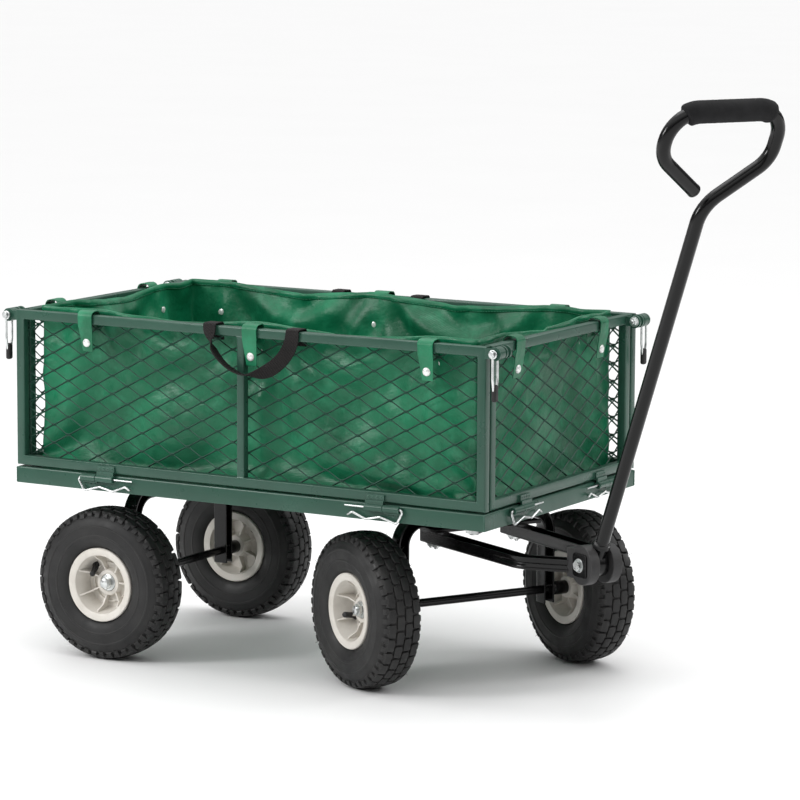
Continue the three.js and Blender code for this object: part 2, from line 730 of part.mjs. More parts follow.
// ---------------------------------------------------------------- fabric
function liner() {
  const inner = (half) => [LINER_WALL - half, half - LINER_WALL];
  const bottom = TRAY_TOP + 0.8;
  return build(
    [block([-LINER_HALF_L, LINER_HALF_L], [-LINER_HALF_W, LINER_HALF_W], [bottom, LINER_TOP])],
    [block(inner(LINER_HALF_L), inner(LINER_HALF_W), [bottom + LINER_WALL, LINER_TOP + 1])]);
}
cart.add(named('liner', liner(), tarpaulin));

// the cross-section of a band that lies flat, "across" along the path's normal
function bandOutline(across, along) {
  const [a, b] = [across / 2, along / 2];
  return [[-a, -b], [a, -b], [a, b], [-a, b]].map(([u, v]) => new THREE.Vector2(u, v));
}

// a band over a panel's top rail, with a short leg inside and a long leg outside
function hook(x, width, thickness, drop) {
  const insideY = MESH_INNER + 2 * GAP;
  const outsideY = -RUNNING_GAP;
  const crown = PANEL_TOP + RUNNING_GAP;
  const insideDrop = 30;
  const bend = 2.2;
  const t = thickness / 2;
  const path = roundedPath([
    [at(x, outsideY - t, PANEL_TOP - drop)], [at(x, outsideY - t, crown + t), bend],
    [at(x, insideY + t, crown + t), bend], [at(x, insideY + t, PANEL_TOP - insideDrop)],
  ], 3);
  return sweep(bandOutline(thickness, width), path, X);
}

const STRAPS = {
  right: [145 - HALF_L, 15, HALF_L - 108],
  left: [HALF_L - 93, 35, 142 - HALF_L],
  front: [109 - HALF_W, HALF_W - 125],
  rear: [HALF_W - 106, 139 - HALF_W],
};
for (const side of SIDES) {
  STRAPS[side.name].forEach((x, i) => {
    const strap = onSide(hook(x, STRAP_W, STRAP_T, STRAP_DROP), side);
    cart.add(named(`strap_${side.name}_${i + 1}`, strap, tarpaulin));
  });
}

// carrying handles: webbing hooked twice over the side rail, with a hanging loop between
function carryHandle(side) {
  const centre = side.turn ? 42 : 18;
  const halfSpan = 80;
  const loopBottom = PANEL_TOP - 72;
  const loopBend = halfSpan - 22;
  const y = -RUNNING_GAP - WEB_T / 2;
  const path = roundedPath([
    [at(centre - halfSpan, y, PANEL_TOP - 6)],
    [at(centre - halfSpan, y, loopBottom), loopBend],
    [at(centre + halfSpan, y, loopBottom), loopBend],
    [at(centre + halfSpan, y, PANEL_TOP - 6)],
  ], 6);
  return onSide(build([
    sweep(bandOutline(WEB_W, WEB_T), path, Y),
    hook(centre - halfSpan, WEB_W, WEB_T, 20),
    hook(centre + halfSpan, WEB_W, WEB_T, 20),
  ]), side);
}
for (const side of SIDES.filter((s) => s.face === HALF_W)) {
  cart.add(named(`carry_handle_${side.name}`, carryHandle(side), webbing));
}

// ---------------------------------------------------------------- origin
const bounds = new THREE.Box3().setFromObject(cart, true);
const middle = bounds.getCenter(new THREE.Vector3());
cart.position.set(-middle.x, -middle.y, -bounds.min.z);

export default cart;
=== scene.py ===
"""Looks of a four-wheeled garden cart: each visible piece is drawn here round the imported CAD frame
and rides on the CAD body it belongs to. Pieces are drawn in millimetres about the point on the
ground under the tray's centre, and a placing matrix turns them into metres in the CAD's frame."""

import random
from math import asin, atan2, copysign, cos, exp, pi, radians, sin, sqrt, tan

import bmesh
import bpy
from mathutils import Matrix, Vector, noise


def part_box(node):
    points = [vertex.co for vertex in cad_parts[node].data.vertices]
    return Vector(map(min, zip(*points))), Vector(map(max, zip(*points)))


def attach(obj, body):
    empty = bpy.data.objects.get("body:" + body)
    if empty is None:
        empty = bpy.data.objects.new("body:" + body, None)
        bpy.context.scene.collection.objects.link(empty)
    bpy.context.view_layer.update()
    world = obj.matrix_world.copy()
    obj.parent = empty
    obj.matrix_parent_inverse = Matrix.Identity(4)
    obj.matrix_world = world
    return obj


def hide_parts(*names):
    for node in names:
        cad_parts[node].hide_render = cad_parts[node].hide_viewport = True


spun, moved = Matrix.Rotation, Matrix.Translation

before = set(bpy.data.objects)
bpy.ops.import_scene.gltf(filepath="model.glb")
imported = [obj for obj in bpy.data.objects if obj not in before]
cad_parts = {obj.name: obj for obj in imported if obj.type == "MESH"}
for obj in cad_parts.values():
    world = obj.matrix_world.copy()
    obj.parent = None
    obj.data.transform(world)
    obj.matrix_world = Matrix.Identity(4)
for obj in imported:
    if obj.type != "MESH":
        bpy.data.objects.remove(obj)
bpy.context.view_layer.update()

# ------------------------------------------------------------------ sizes, the same as the CAD's
HALF_L = 455
HALF_W = 262
TRAY_TOP = 324
SKIRT_BOTTOM = 296
FRAME_TUBE = 16
PANEL_BOTTOM = 327
PANEL_TOP = 592
MESH_Y = 17.3
END_HALF = 242
REAR_AXLE_X = -300
KINGPIN_X = 290
HALF_TRACK = 209.5
WHEEL_R = 130
ARCH_HALF = 143
ARCH_TOP = 280
YOKE_X = 366
YOKE_Z = 247
STEER = radians(28.85)
LEAN = radians(24.7)
PIN_Y = -6.4
PIN_Z = 318
SIDE_HINGES = (-270, 255)
END_HINGES = (-132, 132)
LATCH_REACH = 15.5
LATCH_Z = PANEL_TOP - 10

# ------------------------------------------------------------------ places
floor_low, floor_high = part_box("tray_floor")
CENTRE = (floor_low + floor_high) / 2
CART = moved((CENTRE.x, CENTRE.y, 0)) @ Matrix.Scale(0.001, 4)
REAR_AXLE = CART @ moved((REAR_AXLE_X, 0, 0))
FRONT_AXLE = CART @ moved((KINGPIN_X, 0, 0)) @ spun(-STEER, 4, "Z")
HANDLE = FRONT_AXLE @ moved((YOKE_X, 0, YOKE_Z)) @ spun(LEAN, 4, "Y")

# name, turn about Z, distance of the panel's outer face, hinge places, half length
SIDES = {
    "right": (0, HALF_W, SIDE_HINGES, HALF_L),
    "left": (pi, HALF_W, tuple(-x for x in SIDE_HINGES), HALF_L),
    "front": (pi / 2, HALF_L, END_HINGES, END_HALF),
    "rear": (-pi / 2, HALF_L, END_HINGES, END_HALF),
}


def side_turn(side):
    """A panel is drawn along X with its outer face at y = 0, facing -Y, then turned to its side."""
    turn, face = SIDES[side][:2]
    return spun(turn, 4, "Z") @ moved((0, -face, 0))


def side_place(side):
    return CART @ side_turn(side)


# ------------------------------------------------------------------ camera, light, floor
def camera():
    """The photograph's view: azimuth from the cart's right side, elevation, and a slight roll."""
    azimuth, elevation, roll = radians(30.248), radians(8.333), radians(0.3)
    distance, aim_right, aim_up = 6.58365, 0.12607, 0.04033
    away = Vector((sin(azimuth) * cos(elevation),
                   -cos(azimuth) * cos(elevation), sin(elevation)))
    level = Vector((cos(azimuth), sin(azimuth), 0))
    rise = away.cross(level)
    aim = Vector((CENTRE.x, CENTRE.y, 0.4)) + level * aim_right + rise * aim_up
    right = level * cos(roll) + rise * sin(roll)
    up = rise * cos(roll) - level * sin(roll)
    data = bpy.data.cameras.new("camera")
    data.sensor_width = 36
    data.lens = 174.41
    data.clip_end = 100
    obj = bpy.data.objects.new("camera", data)
    obj.matrix_world = moved(aim + away * distance) @ Matrix(
        (right, up, away)).transposed().to_4x4()
    bpy.context.scene.collection.objects.link(obj)
    bpy.context.scene.camera = obj


def area_light(name, place, aim, size, power):
    """A round soft light at a place, turned to aim at a point."""
    data = bpy.data.lights.new(name, "AREA")
    data.shape = "DISK"
    data.size = size
    data.energy = power
    obj = bpy.data.objects.new(name, data)
    obj.location = place
    obj.rotation_euler = (Vector(aim) - Vector(place)).to_track_quat("-Z", "Y").to_euler()
    bpy.context.scene.collection.objects.link(obj)


def studio():
    """A bright ceiling over a dim horizon, so glossy paint shows crisp highlights on deep tones."""
    world = bpy.data.worlds.new("studio")
    world.use_nodes = True
    nodes, links = world.node_tree.nodes, world.node_tree.links
    direction = nodes.new("ShaderNodeTexCoord")
    split = nodes.new("ShaderNodeSeparateXYZ")
    height = nodes.new("ShaderNodeMapRange")
    height.interpolation_type = "SMOOTHSTEP"
    for key, value in (("From Min", 0.15), ("From Max", 0.75), ("To Min", 0.14), ("To Max", 1.42)):
        height.inputs[key].default_value = value
    links.new(direction.outputs["Generated"], split.inputs[0])
    links.new(split.outputs["Z"], height.inputs["Value"])
    links.new(height.outputs["Result"], nodes["Background"].inputs["Strength"])
    nodes["Background"].inputs["Color"].default_value = (1.0, 1.0, 1.0, 1)
    bpy.context.scene.world = world
    bpy.context.scene.view_settings.view_transform = "Standard"
    area_light("key", (-2.3, -2.6, 1.9), (-0.4, 0, 0.4), 1.1, 54)
    area_light("rim", (2.6, 2.6, 2.2), (0, 0, 0.5), 1.0, 26)
    area_light("ceiling", (-0.4, 0.2, 3.6), (0, 0, 0.3), 2.4, 30)
    data = bpy.data.meshes.new("floor")
    r = 40
    data.from_pydata([(-r, -r, 0), (r, -r, 0), (r, r, 0), (-r, r, 0)], [], [(0, 1, 2, 3)])
    floor = bpy.data.objects.new("floor", data)
    floor.data.materials.append(floor_material())
    bpy.context.scene.collection.objects.link(floor)


# ------------------------------------------------------------------ materials
class Surface:
    """A Principled material whose colour, roughness and bump come from a few stacked patterns."""

    def __init__(self, name, roughness, metallic=0.0, specular=0.5):
        self.material = bpy.data.materials.new(name)
        self.material.use_nodes = True
        self.tree = self.material.node_tree
        self.bsdf = self.tree.nodes["Principled BSDF"]
        self.bsdf.inputs["Roughness"].default_value = roughness
        self.bsdf.inputs["Metallic"].default_value = metallic
        self.bsdf.inputs["Specular IOR Level"].default_value = specular
        self.coords = self.tree.nodes.new("ShaderNodeTexCoord").outputs["Object"]
        self.bump = None

    def node(self, kind, **values):
        node = self.tree.nodes.new(kind)
        for key, value in values.items():
            if hasattr(node, key):
                setattr(node, key, value)
            else:
                node.inputs[key.replace("_", " ")].default_value = value
        return node

    def link(self, source, target):
        self.tree.links.new(source, target)

    def noise(self, scale, detail=3.0, rough=0.6):
        node = self.node("ShaderNodeTexNoise", Scale=scale, Detail=detail, Roughness=rough)
        self.link(self.coords, node.inputs["Vector"])
        return node.outputs["Fac"]

    def ramp(self, source, low, high, first=0.0, last=1.0):
        node = self.node("ShaderNodeMapRange")
        for key, value in zip(("From Min", "From Max", "To Min", "To Max"), (low, high, first, last)):
            node.inputs[key].default_value = value
        self.link(source, node.inputs["Value"])
        return node.outputs["Result"]

    def patches(self, scale, detail, low=0.3, high=0.7, first=0.0, last=1.0):
        return self.ramp(self.noise(scale, detail), low, high, first, last)

    def maths(self, operation, a, b):
        node = self.node("ShaderNodeMath", operation=operation)
        self.link(a, node.inputs[0])
        self.link(b, node.inputs[1])
        return node.outputs[0]

    def mix(self, factor, a, b):
        node = self.node("ShaderNodeMix", data_type="RGBA")
        self.link(factor, node.inputs[0])
        for socket, value in ((node.inputs[6], a), (node.inputs[7], b)):
            if isinstance(value, tuple):
                socket.default_value = (*value, 1)
            else:
                self.link(value, socket)
        return node.outputs[2]

    def color(self, source):
        self.link(source, self.bsdf.inputs["Base Color"])

    def rough_between(self, scale, detail, low, high):
        self.link(self.patches(scale, detail, 0.3, 0.7, low, high), self.bsdf.inputs["Roughness"])

    def raise_by(self, height, strength, distance):
        node = self.node("ShaderNodeBump", Strength=strength, Distance=distance)
        self.link(height, node.inputs["Height"])
        if self.bump:
            self.link(self.bump, node.inputs["Normal"])
        self.bump = node.outputs["Normal"]
        self.link(self.bump, self.bsdf.inputs["Normal"])

    def grain(self, scale, detail, strength, distance):
        self.raise_by(self.noise(scale, detail), strength, distance)

    def edge(self, radius):
        """1 along sharp edges, 0 on open faces."""
        rounded = self.node("ShaderNodeBevel", samples=4, Radius=radius)
        plain = self.node("ShaderNodeNewGeometry")
        dot = self.node("ShaderNodeVectorMath", operation="DOT_PRODUCT")
        self.link(rounded.outputs["Normal"], dot.inputs[0])
        self.link(plain.outputs["Normal"], dot.inputs[1])
        return self.ramp(dot.outputs["Value"], 0.995, 0.9)

    def upward(self):
        """1 on faces that look up, where dust settles."""
        geometry = self.node("ShaderNodeNewGeometry")
        split = self.node("ShaderNodeSeparateXYZ")
        self.link(geometry.outputs["Normal"], split.inputs[0])
        return self.ramp(split.outputs["Z"], 0.3, 1.0)

    def bands(self, axis, pitch):
        node = self.node("ShaderNodeTexWave", wave_type="BANDS", bands_direction=axis,
                         Scale=pi / (10 * pitch), Distortion=0.0)
        self.link(self.coords, node.inputs["Vector"])
        return node.outputs["Fac"]


def paint(name, color, worn, roughness, dust=0.25, specular=0.4):
    """Powder coat: faint orange peel, mottled gloss, lighter worn edges, dust on top faces."""
    s = Surface(name, roughness, specular=specular)
    base = s.mix(s.patches(9, 4, 0.35), tuple(c * 0.8 for c in color), color)
    worn_edge = s.maths("MULTIPLY", s.edge(0.0015), s.patches(60, 4, 0.4, 0.62, 0.25, 0.9))
    base = s.mix(worn_edge, base, worn)
    settled = s.maths("MULTIPLY", s.upward(), s.patches(25, 5, 0.4, 0.75, 0.0, dust))
    s.color(s.mix(settled, base, tuple(min(1, c * 0.5 + 0.12) for c in color)))
    s.rough_between(30, 3, roughness * 0.85, roughness * 1.2)
    s.grain(900, 1, 0.12, 0.0004)
    return s.material


def zinc_plate():
    s = Surface("zinc_plate", 0.3, 1.0)
    s.color(s.mix(s.patches(70, 4), (0.5, 0.52, 0.52), (0.86, 0.88, 0.87)))
    s.rough_between(160, 3, 0.22, 0.45)
    s.grain(1400, 2, 0.2, 0.0002)
    return s.material


def tyre_rubber():
    """Dull black rubber, chalky along the edges of its blocks."""
    s = Surface("tyre_rubber", 0.7, specular=0.32)
    base = s.mix(s.patches(14, 5, 0.35), (0.012, 0.012, 0.0125), (0.024, 0.0235, 0.023))
    chalk = s.maths("MULTIPLY", s.edge(0.002), s.patches(80, 4, 0.4, 0.7, 0.1, 0.55))
    s.color(s.mix(chalk, base, (0.075, 0.073, 0.07)))
    s.rough_between(40, 4, 0.42, 0.66)
    s.grain(700, 3, 0.25, 0.0004)
    return s.material


def rim_plastic():
    """Cream plastic with a little grime."""
    s = Surface("rim_plastic", 0.42)
    base = s.mix(s.patches(18, 4, 0.35), (0.60, 0.565, 0.51), (0.70, 0.67, 0.62))
    s.color(s.mix(s.patches(45, 5, 0.52, 0.8, 0.0, 0.35), base, (0.38, 0.35, 0.30)))
    s.rough_between(60, 3, 0.34, 0.55)
    s.grain(500, 2, 0.12, 0.0004)
    return s.material


def grip_foam():
    """Closed-cell foam: small round cells over a soft unevenness."""
    s = Surface("grip_foam", 0.85, specular=0.2)
    cells = s.node("ShaderNodeTexVoronoi", Scale=900.0)
    s.link(s.coords, cells.inputs["Vector"])
    s.color(s.mix(s.patches(30, 4), (0.008, 0.008, 0.0085), (0.018, 0.018, 0.019)))
    s.raise_by(cells.outputs["Distance"], 0.5, 0.0005)
    s.grain(120, 3, 0.3, 0.001)
    return s.material


def cast_black():
    s = Surface("cast_black", 0.5, specular=0.35)
    base = s.mix(s.patches(25, 4, 0.35), (0.018, 0.018, 0.019), (0.035, 0.034, 0.034))
    # Lighter colour along every edge is painted highlight on the casting's bevelled rims.
    s.color(s.mix(s.edge(0.0015), base, (0.07, 0.07, 0.07)))
    s.grain(450, 3, 0.3, 0.0006)
    return s.material


def tarpaulin():
    """Coated woven tarpaulin: a fine weave under a semi-gloss skin, with darker fields and lighter
    blotches that are painted highlights.
    """
    s = Surface("tarpaulin", 0.42, specular=0.38)
    weave = s.maths("ADD", s.bands("X", 0.0022), s.bands("Y", 0.0022))
    weave = s.maths("ADD", weave, s.bands("Z", 0.0022))
    field = s.ramp(s.noise(7, 3, 0.5), 0.36, 0.66)
    base = s.mix(field, (0.002, 0.094, 0.040), (0.005, 0.185, 0.082))
    # Lighter blotches mixed into the colour are painted highlight: the glossy skin's sheen put into the
    # base colour.
    base = s.mix(s.patches(19, 5, 0.52, 0.72, 0.0, 0.55), base, (0.026, 0.29, 0.145))
    s.color(s.mix(s.ramp(weave, 0.6, 2.2, 0.0, 0.12), base, (0.01, 0.19, 0.09)))
    s.rough_between(20, 5, 0.30, 0.50)
    s.raise_by(s.noise(11, 5, 0.55), 0.55, 0.012)
    s.raise_by(weave, 0.2, 0.0004)
    return s.material


def webbing():
    s = Surface("webbing", 0.75, specular=0.25)
    weave = s.maths("ADD", s.bands("DIAGONAL", 0.0030), s.bands("Z", 0.0024))
    base = s.mix(s.patches(35, 4), (0.005, 0.0045, 0.0045), (0.012, 0.010, 0.010))
    s.color(s.mix(s.ramp(weave, 0.4, 1.8, 0.0, 0.45), base, (0.022, 0.019, 0.018)))
    s.raise_by(weave, 0.7, 0.0008)
    return s.material


def sewing_thread():
    s = Surface("thread", 0.6)
    s.color(s.mix(s.patches(900, 2), (0.01, 0.12, 0.06), (0.03, 0.22, 0.12)))
    s.grain(2500, 2, 0.4, 0.0002)
    return s.material


def snap_metal():
    s = Surface("snap_metal", 0.3, 0.35)
    s.color(s.mix(s.patches(300, 3), (0.66, 0.67, 0.66), (0.88, 0.88, 0.86)))
    s.rough_between(200, 3, 0.2, 0.4)
    return s.material


def floor_material():
    s = Surface("floor", 0.6)
    s.color(s.mix(s.patches(1.5, 3), (0.885, 0.885, 0.885), (0.895, 0.895, 0.895)))
    return s.material


GREEN = paint("green_powder_coat", (0.024, 0.082, 0.055), (0.08, 0.17, 0.13), 0.30)
MESH_GREEN = paint("mesh_powder_coat", (0.013, 0.052, 0.034), (0.05, 0.13, 0.095), 0.4, 0.1, 0.2)
BLACK = paint("black_paint", (0.004, 0.004, 0.0042), (0.05, 0.05, 0.05), 0.18, 0.04, 0.28)
ZINC = zinc_plate()
RUBBER = tyre_rubber()
CREAM = rim_plastic()
FOAM = grip_foam()
CAST = cast_black()
TARP = tarpaulin()
WEB = webbing()
THREAD = sewing_thread()
SNAP = snap_metal()


# ------------------------------------------------------------------ shapes
def rounded_path(corners, steps=10):
    """A path through corners, each (point, radius), with an arc at each corner that has one."""
    points = []
    for i, (corner, radius) in enumerate(corners):
        corner = Vector(corner)
        if not radius or i in (0, len(corners) - 1):
            points.append(corner)
            continue
        before = (Vector(corners[i - 1][0]) - corner).normalized()
        after = (Vector(corners[i + 1][0]) - corner).normalized()
        half = before.angle(after) / 2
        centre = corner + (before + after).normalized() * (radius / sin(half))
        start = corner + before * (radius / tan(half)) - centre
        axis = before.cross(after).normalized()
        turn = pi - 2 * half
        for k in range(steps + 1):
            points.append(centre + spun(-turn * k / steps, 3, axis) @ start)
    return points


def around(steps):
    """Angles at even steps round a full turn."""
    return [2 * pi * k / steps for k in range(steps)]


def circle(radius, sides):
    return [(radius * cos(a), radius * sin(a)) for a in around(sides)]


def rounded_rectangle(half_u, half_v, radius, steps=3):
    outline = []
    for quarter, (su, sv) in enumerate(((1, 1), (-1, 1), (-1, -1), (1, -1))):
        for k in range(steps + 1):
            angle = pi / 2 * (quarter + k / steps)
            outline.append((su * (half_u - radius) + radius * cos(angle),
                            sv * (half_v - radius) + radius * sin(angle)))
    return outline


def channel(depth, width, wall, fold=2.0):
    """A channel's section, web at -v and mouth at +v, with its two folds rounded outside."""
    u, v = depth / 2, width / 2
    outline = [(-u, v), (-u, fold - v)]
    outline += [(fold - u - fold * cos(a), fold - v - fold * sin(a))
                for a in (pi / 6, pi / 3)]
    outline += [(fold - u, -v), (u - fold, -v)]
    outline += [(u - fold + fold * sin(a), fold - v - fold * cos(a))
                for a in (pi / 6, pi / 3)]
    outline += [(u, fold - v), (u, v), (u - wall, v), (u - wall, wall - v), (wall - u, wall - v),
                (wall - u, v)]
    return outline


class Shape:
    """Vertices and faces in millimetres, gathered from simple solids, for one piece."""

    def __init__(self):
        self.verts = []
        self.faces = []

    def add(self, verts, faces, at=None):
        start = len(self.verts)
        self.verts += [at @ Vector(v) if at else Vector(v) for v in verts]
        self.faces += [[start + i for i in face] for face in faces]
        return self

    def rings(self, rings, closed=False, at=None):
        """A skin over rings of points, capped at its ends unless it closes on itself."""
        n, m = len(rings), len(rings[0])
        faces = []
        for i in range(n if closed else n - 1):
            for j in range(m):
                k, after = (j + 1) % m, (i + 1) % n
                faces.append((i * m + j, i * m + k, after * m + k, after * m + j))
        if not closed:
            faces += [tuple(range(m))[::-1], tuple(range((n - 1) * m, n * m))]
        return self.add([v for ring in rings for v in ring], faces, at)

    def sweep(self, outline, points, normal, closed=False, at=None):
        """An outline, or a function that gives one for each point, along a flat path.
        Its u lies beside the path and its v along the plane's normal."""
        normal = Vector(normal)
        points = [Vector(p) for p in points]
        rings = []
        last = len(points) - 1
        for i, p in enumerate(points):
            arriving = p - points[i - 1] if closed or i > 0 else points[1] - p
            leaving = points[(i + 1) % (last + 1)] - p if closed or i < last else arriving
            arriving, leaving = arriving.normalized(), leaving.normalized()
            tangent = (arriving + leaving).normalized()
            beside = normal.cross(tangent) / max(0.3, tangent.dot(leaving))
            section = outline(i) if callable(outline) else outline
            rings.append([p + beside * u + normal * v for u, v in section])
        return self.rings(rings, closed, at=at)

    def spindle(self, start, direction, profile, sides=24, at=None):
        """A turned solid along a direction: profile is (distance, radius) pairs."""
        start, along = Vector(start), Vector(direction).normalized()
        across = along.orthogonal().normalized()
        up = along.cross(across)
        rings = [[start + along * d + across * u + up * v for u, v in circle(r, sides)]
                 for d, r in profile]
        return self.rings(rings, at=at)

    def turned(self, profile, steps=48, at=None):
        """A closed outline of (radius, y) pairs, turned about the Y axis."""
        rings = [[(r * cos(a), y, r * sin(a)) for r, y in profile] for a in around(steps)]
        return self.rings(rings, closed=True, at=at)

    def box(self, x, y, z, at=None):
        verts = [(a, b, c) for a in x for b in y for c in z]
        faces = [(0, 1, 3, 2), (4, 6, 7, 5), (0, 4, 5, 1), (2, 3, 7, 6), (0, 2, 6, 4), (1, 5, 7, 3)]
        return self.add(verts, faces, at)

    def plate(self, outline, y, at=None):
        """An outline of (x, z) pairs given a thickness along Y."""
        n = len(outline)
        verts = [(a, y[0], c) for a, c in outline] + [(a, y[1], c) for a, c in outline]
        faces = [tuple(range(n)), tuple(range(2 * n - 1, n - 1, -1))]
        faces += [(i, i + n, (i + 1) % n + n, (i + 1) % n) for i in range(n)]
        return self.add(verts, faces, at)

    def nut(self, start, direction, radius, thickness, at=None):
        chamfer = thickness * 0.15
        profile = [(0, radius - chamfer), (chamfer, radius), (thickness - chamfer, radius),
                   (thickness, radius - chamfer)]
        return self.spindle(start, direction, profile, 6, at)

    def bolt(self, start, direction, radius, at=None):
        """A washer, a hex head and a short end of thread, standing on a face."""
        washer, head, stud = 1.4, radius * 0.75, radius * 0.5
        start, along = Vector(start), Vector(direction).normalized()
        self.spindle(start, along, [(0, radius * 1.35), (washer, radius * 1.35)], 24, at)
        self.nut(start + along * washer, along, radius, head, at)
        return self.spindle(start + along * (washer + head), along,
                            [(0, stud), (2.4, stud), (3.2, stud * 0.75)], 16, at)

    def bead(self, start, end, radius, seed=1):
        """A hand-laid weld bead, lumpy along its length."""
        start, end = Vector(start), Vector(end)
        length = (end - start).length
        count = max(3, int(length / (radius * 1.1)))
        rnd = random.Random(seed)
        profile = [(0, radius * 0.4)]
        profile += [(length * (k + 0.5) / count, radius * rnd.uniform(0.8, 1.15))
                    for k in range(count)]
        profile += [(length, radius * 0.4)]
        return self.spindle(start, end - start, profile, 8)


def piece(name, shape, place, body, material, replaces=(), bevel=0.0, smooth=40):
    """Turns a shape into an object on a body; bevel is in millimetres and smooth in degrees."""
    mesh = bpy.data.meshes.new(name)
    mesh.from_pydata([place @ v for v in shape.verts], [], shape.faces)
    bm = bmesh.new()
    bm.from_mesh(mesh)
    bmesh.ops.recalc_face_normals(bm, faces=bm.faces)
    bm.to_mesh(mesh)
    bm.free()
    mesh.materials.append(material)
    mesh.shade_smooth()
    mesh.set_sharp_from_angle(angle=radians(smooth))
    obj = bpy.data.objects.new(name, mesh)
    bpy.context.scene.collection.objects.link(obj)
    if bevel:
        rounding = obj.modifiers.new("edges", "BEVEL")
        rounding.width = bevel / 1000
        rounding.segments = 2
        rounding.limit_method = "ANGLE"
        rounding.angle_limit = radians(50)
        rounding.harden_normals = True
    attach(obj, body)
    if replaces:
        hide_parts(*replaces)
    return obj


# ------------------------------------------------------------------ expanded metal
def expanded_metal(shape, x_range, z_range, y, at=None, pitch=60.0, row=15.4):
    """Zigzag strands that touch at their crests: a strand climbs half a diamond and comes down."""
    x0, x1 = x_range
    z0, z1 = z_range
    bond, wide, deep = 3.2, 1.2, 0.8
    tilt = radians(52)
    section = [(u * cos(tilt) - v * sin(tilt), u * sin(tilt) + v * cos(tilt))
               for u, v in ((-wide, -deep), (wide, -deep), (wide, deep), (-wide, deep))]
    rows = int((z1 - z0) / row)
    start = z0 + (z1 - z0 - rows * row) / 2
    columns = int((x1 - x0) / (pitch / 2)) + 1
    first = (x0 + x1) / 2 - columns * pitch / 4
    for k in range(rows):
        low = start + k * row
        points = []
        for i in range(columns + 1):
            crest = (i + k) % 2
            z = low + row - wide if crest else low + wide
            lean = 0.7 if crest else -0.7
            for dx in (-bond, bond):
                x = min(max(first + i * pitch / 2 + dx, x0), x1)
                if not points or x > points[-1][0] + 0.5:
                    points.append((x, y + lean, z))
        shape.sweep(section, points, (0, 1, 0), at=at)
    return shape


# ------------------------------------------------------------------ tray
def tray_rim():
    """The pressed tray edge: a skirt folded into a flange, welded corners, and hinge knuckles."""
    skirt = Shape()
    sheet, fold, flange = 2.5, 3, 22
    section = [(0, SKIRT_BOTTOM), (0, TRAY_TOP - fold)]
    section += [(fold - fold * cos(a), TRAY_TOP - fold + fold * sin(a)) for a in (pi / 6, pi / 3)]
    section += [(fold, TRAY_TOP), (flange, TRAY_TOP), (flange, TRAY_TOP - sheet),
                (sheet + 1, TRAY_TOP - sheet), (sheet, TRAY_TOP - sheet - 1), (sheet, SKIRT_BOTTOM)]
    corners = [(-HALF_L, -HALF_W, 0), (HALF_L, -HALF_W, 0), (HALF_L, HALF_W, 0),
               (-HALF_L, HALF_W, 0)]
    skirt.sweep(section, corners, (0, 0, 1), closed=True)
    for i, (x, y, _) in enumerate(corners):
        skirt.bead((x * 0.9995, y * 0.999, SKIRT_BOTTOM + 1), (x * 0.9995, y * 0.999, TRAY_TOP - 1),
                   1.3, seed=i)
    for side in SIDES:
        at = side_turn(side)
        for hinge in SIDES[side][2]:
            low, high = sorted(hinge + copysign(reach, hinge) for reach in (17.8, 47.4))
            rolled_knuckle(skirt, low, high, at)
            skirt.box((low, high), (-4.5, 0.5), (309, 314.5), at)
            for k in range(3):
                weld = (low + 6 + k * 8.5, 0, 306.5)
                skirt.spindle(weld, (0, -1, 0), [(-0.5, 2.6), (0.4, 2.2), (0.9, 1.0)], 10, at)
    piece("tray_edge", skirt, CART, "cart", GREEN, ["tray_rim"], smooth=35)


def rolled_knuckle(shape, x0, x1, at):
    """A strip rolled round the clip's wire, with a round hole."""
    outer, inner, soft = 6.0, 2.7, 0.7
    profile = [(inner, x0), (outer - soft, x0), (outer, x0 + soft), (outer, x1 - soft),
               (outer - soft, x1), (inner, x1)]
    along_x = at @ moved((0, PIN_Y, PIN_Z)) @ spun(-pi / 2, 4, "Z")
    shape.turned(profile, 20, along_x)


def tray_floor():
    floor = Shape()
    flat = moved((0, 0, 320)) @ spun(-pi / 2, 4, "X")
    expanded_metal(floor, (-448, 448), (-255, 255), 0, flat)
    piece("tray_floor_mesh", floor, CART, "cart", MESH_GREEN, ["tray_floor"])


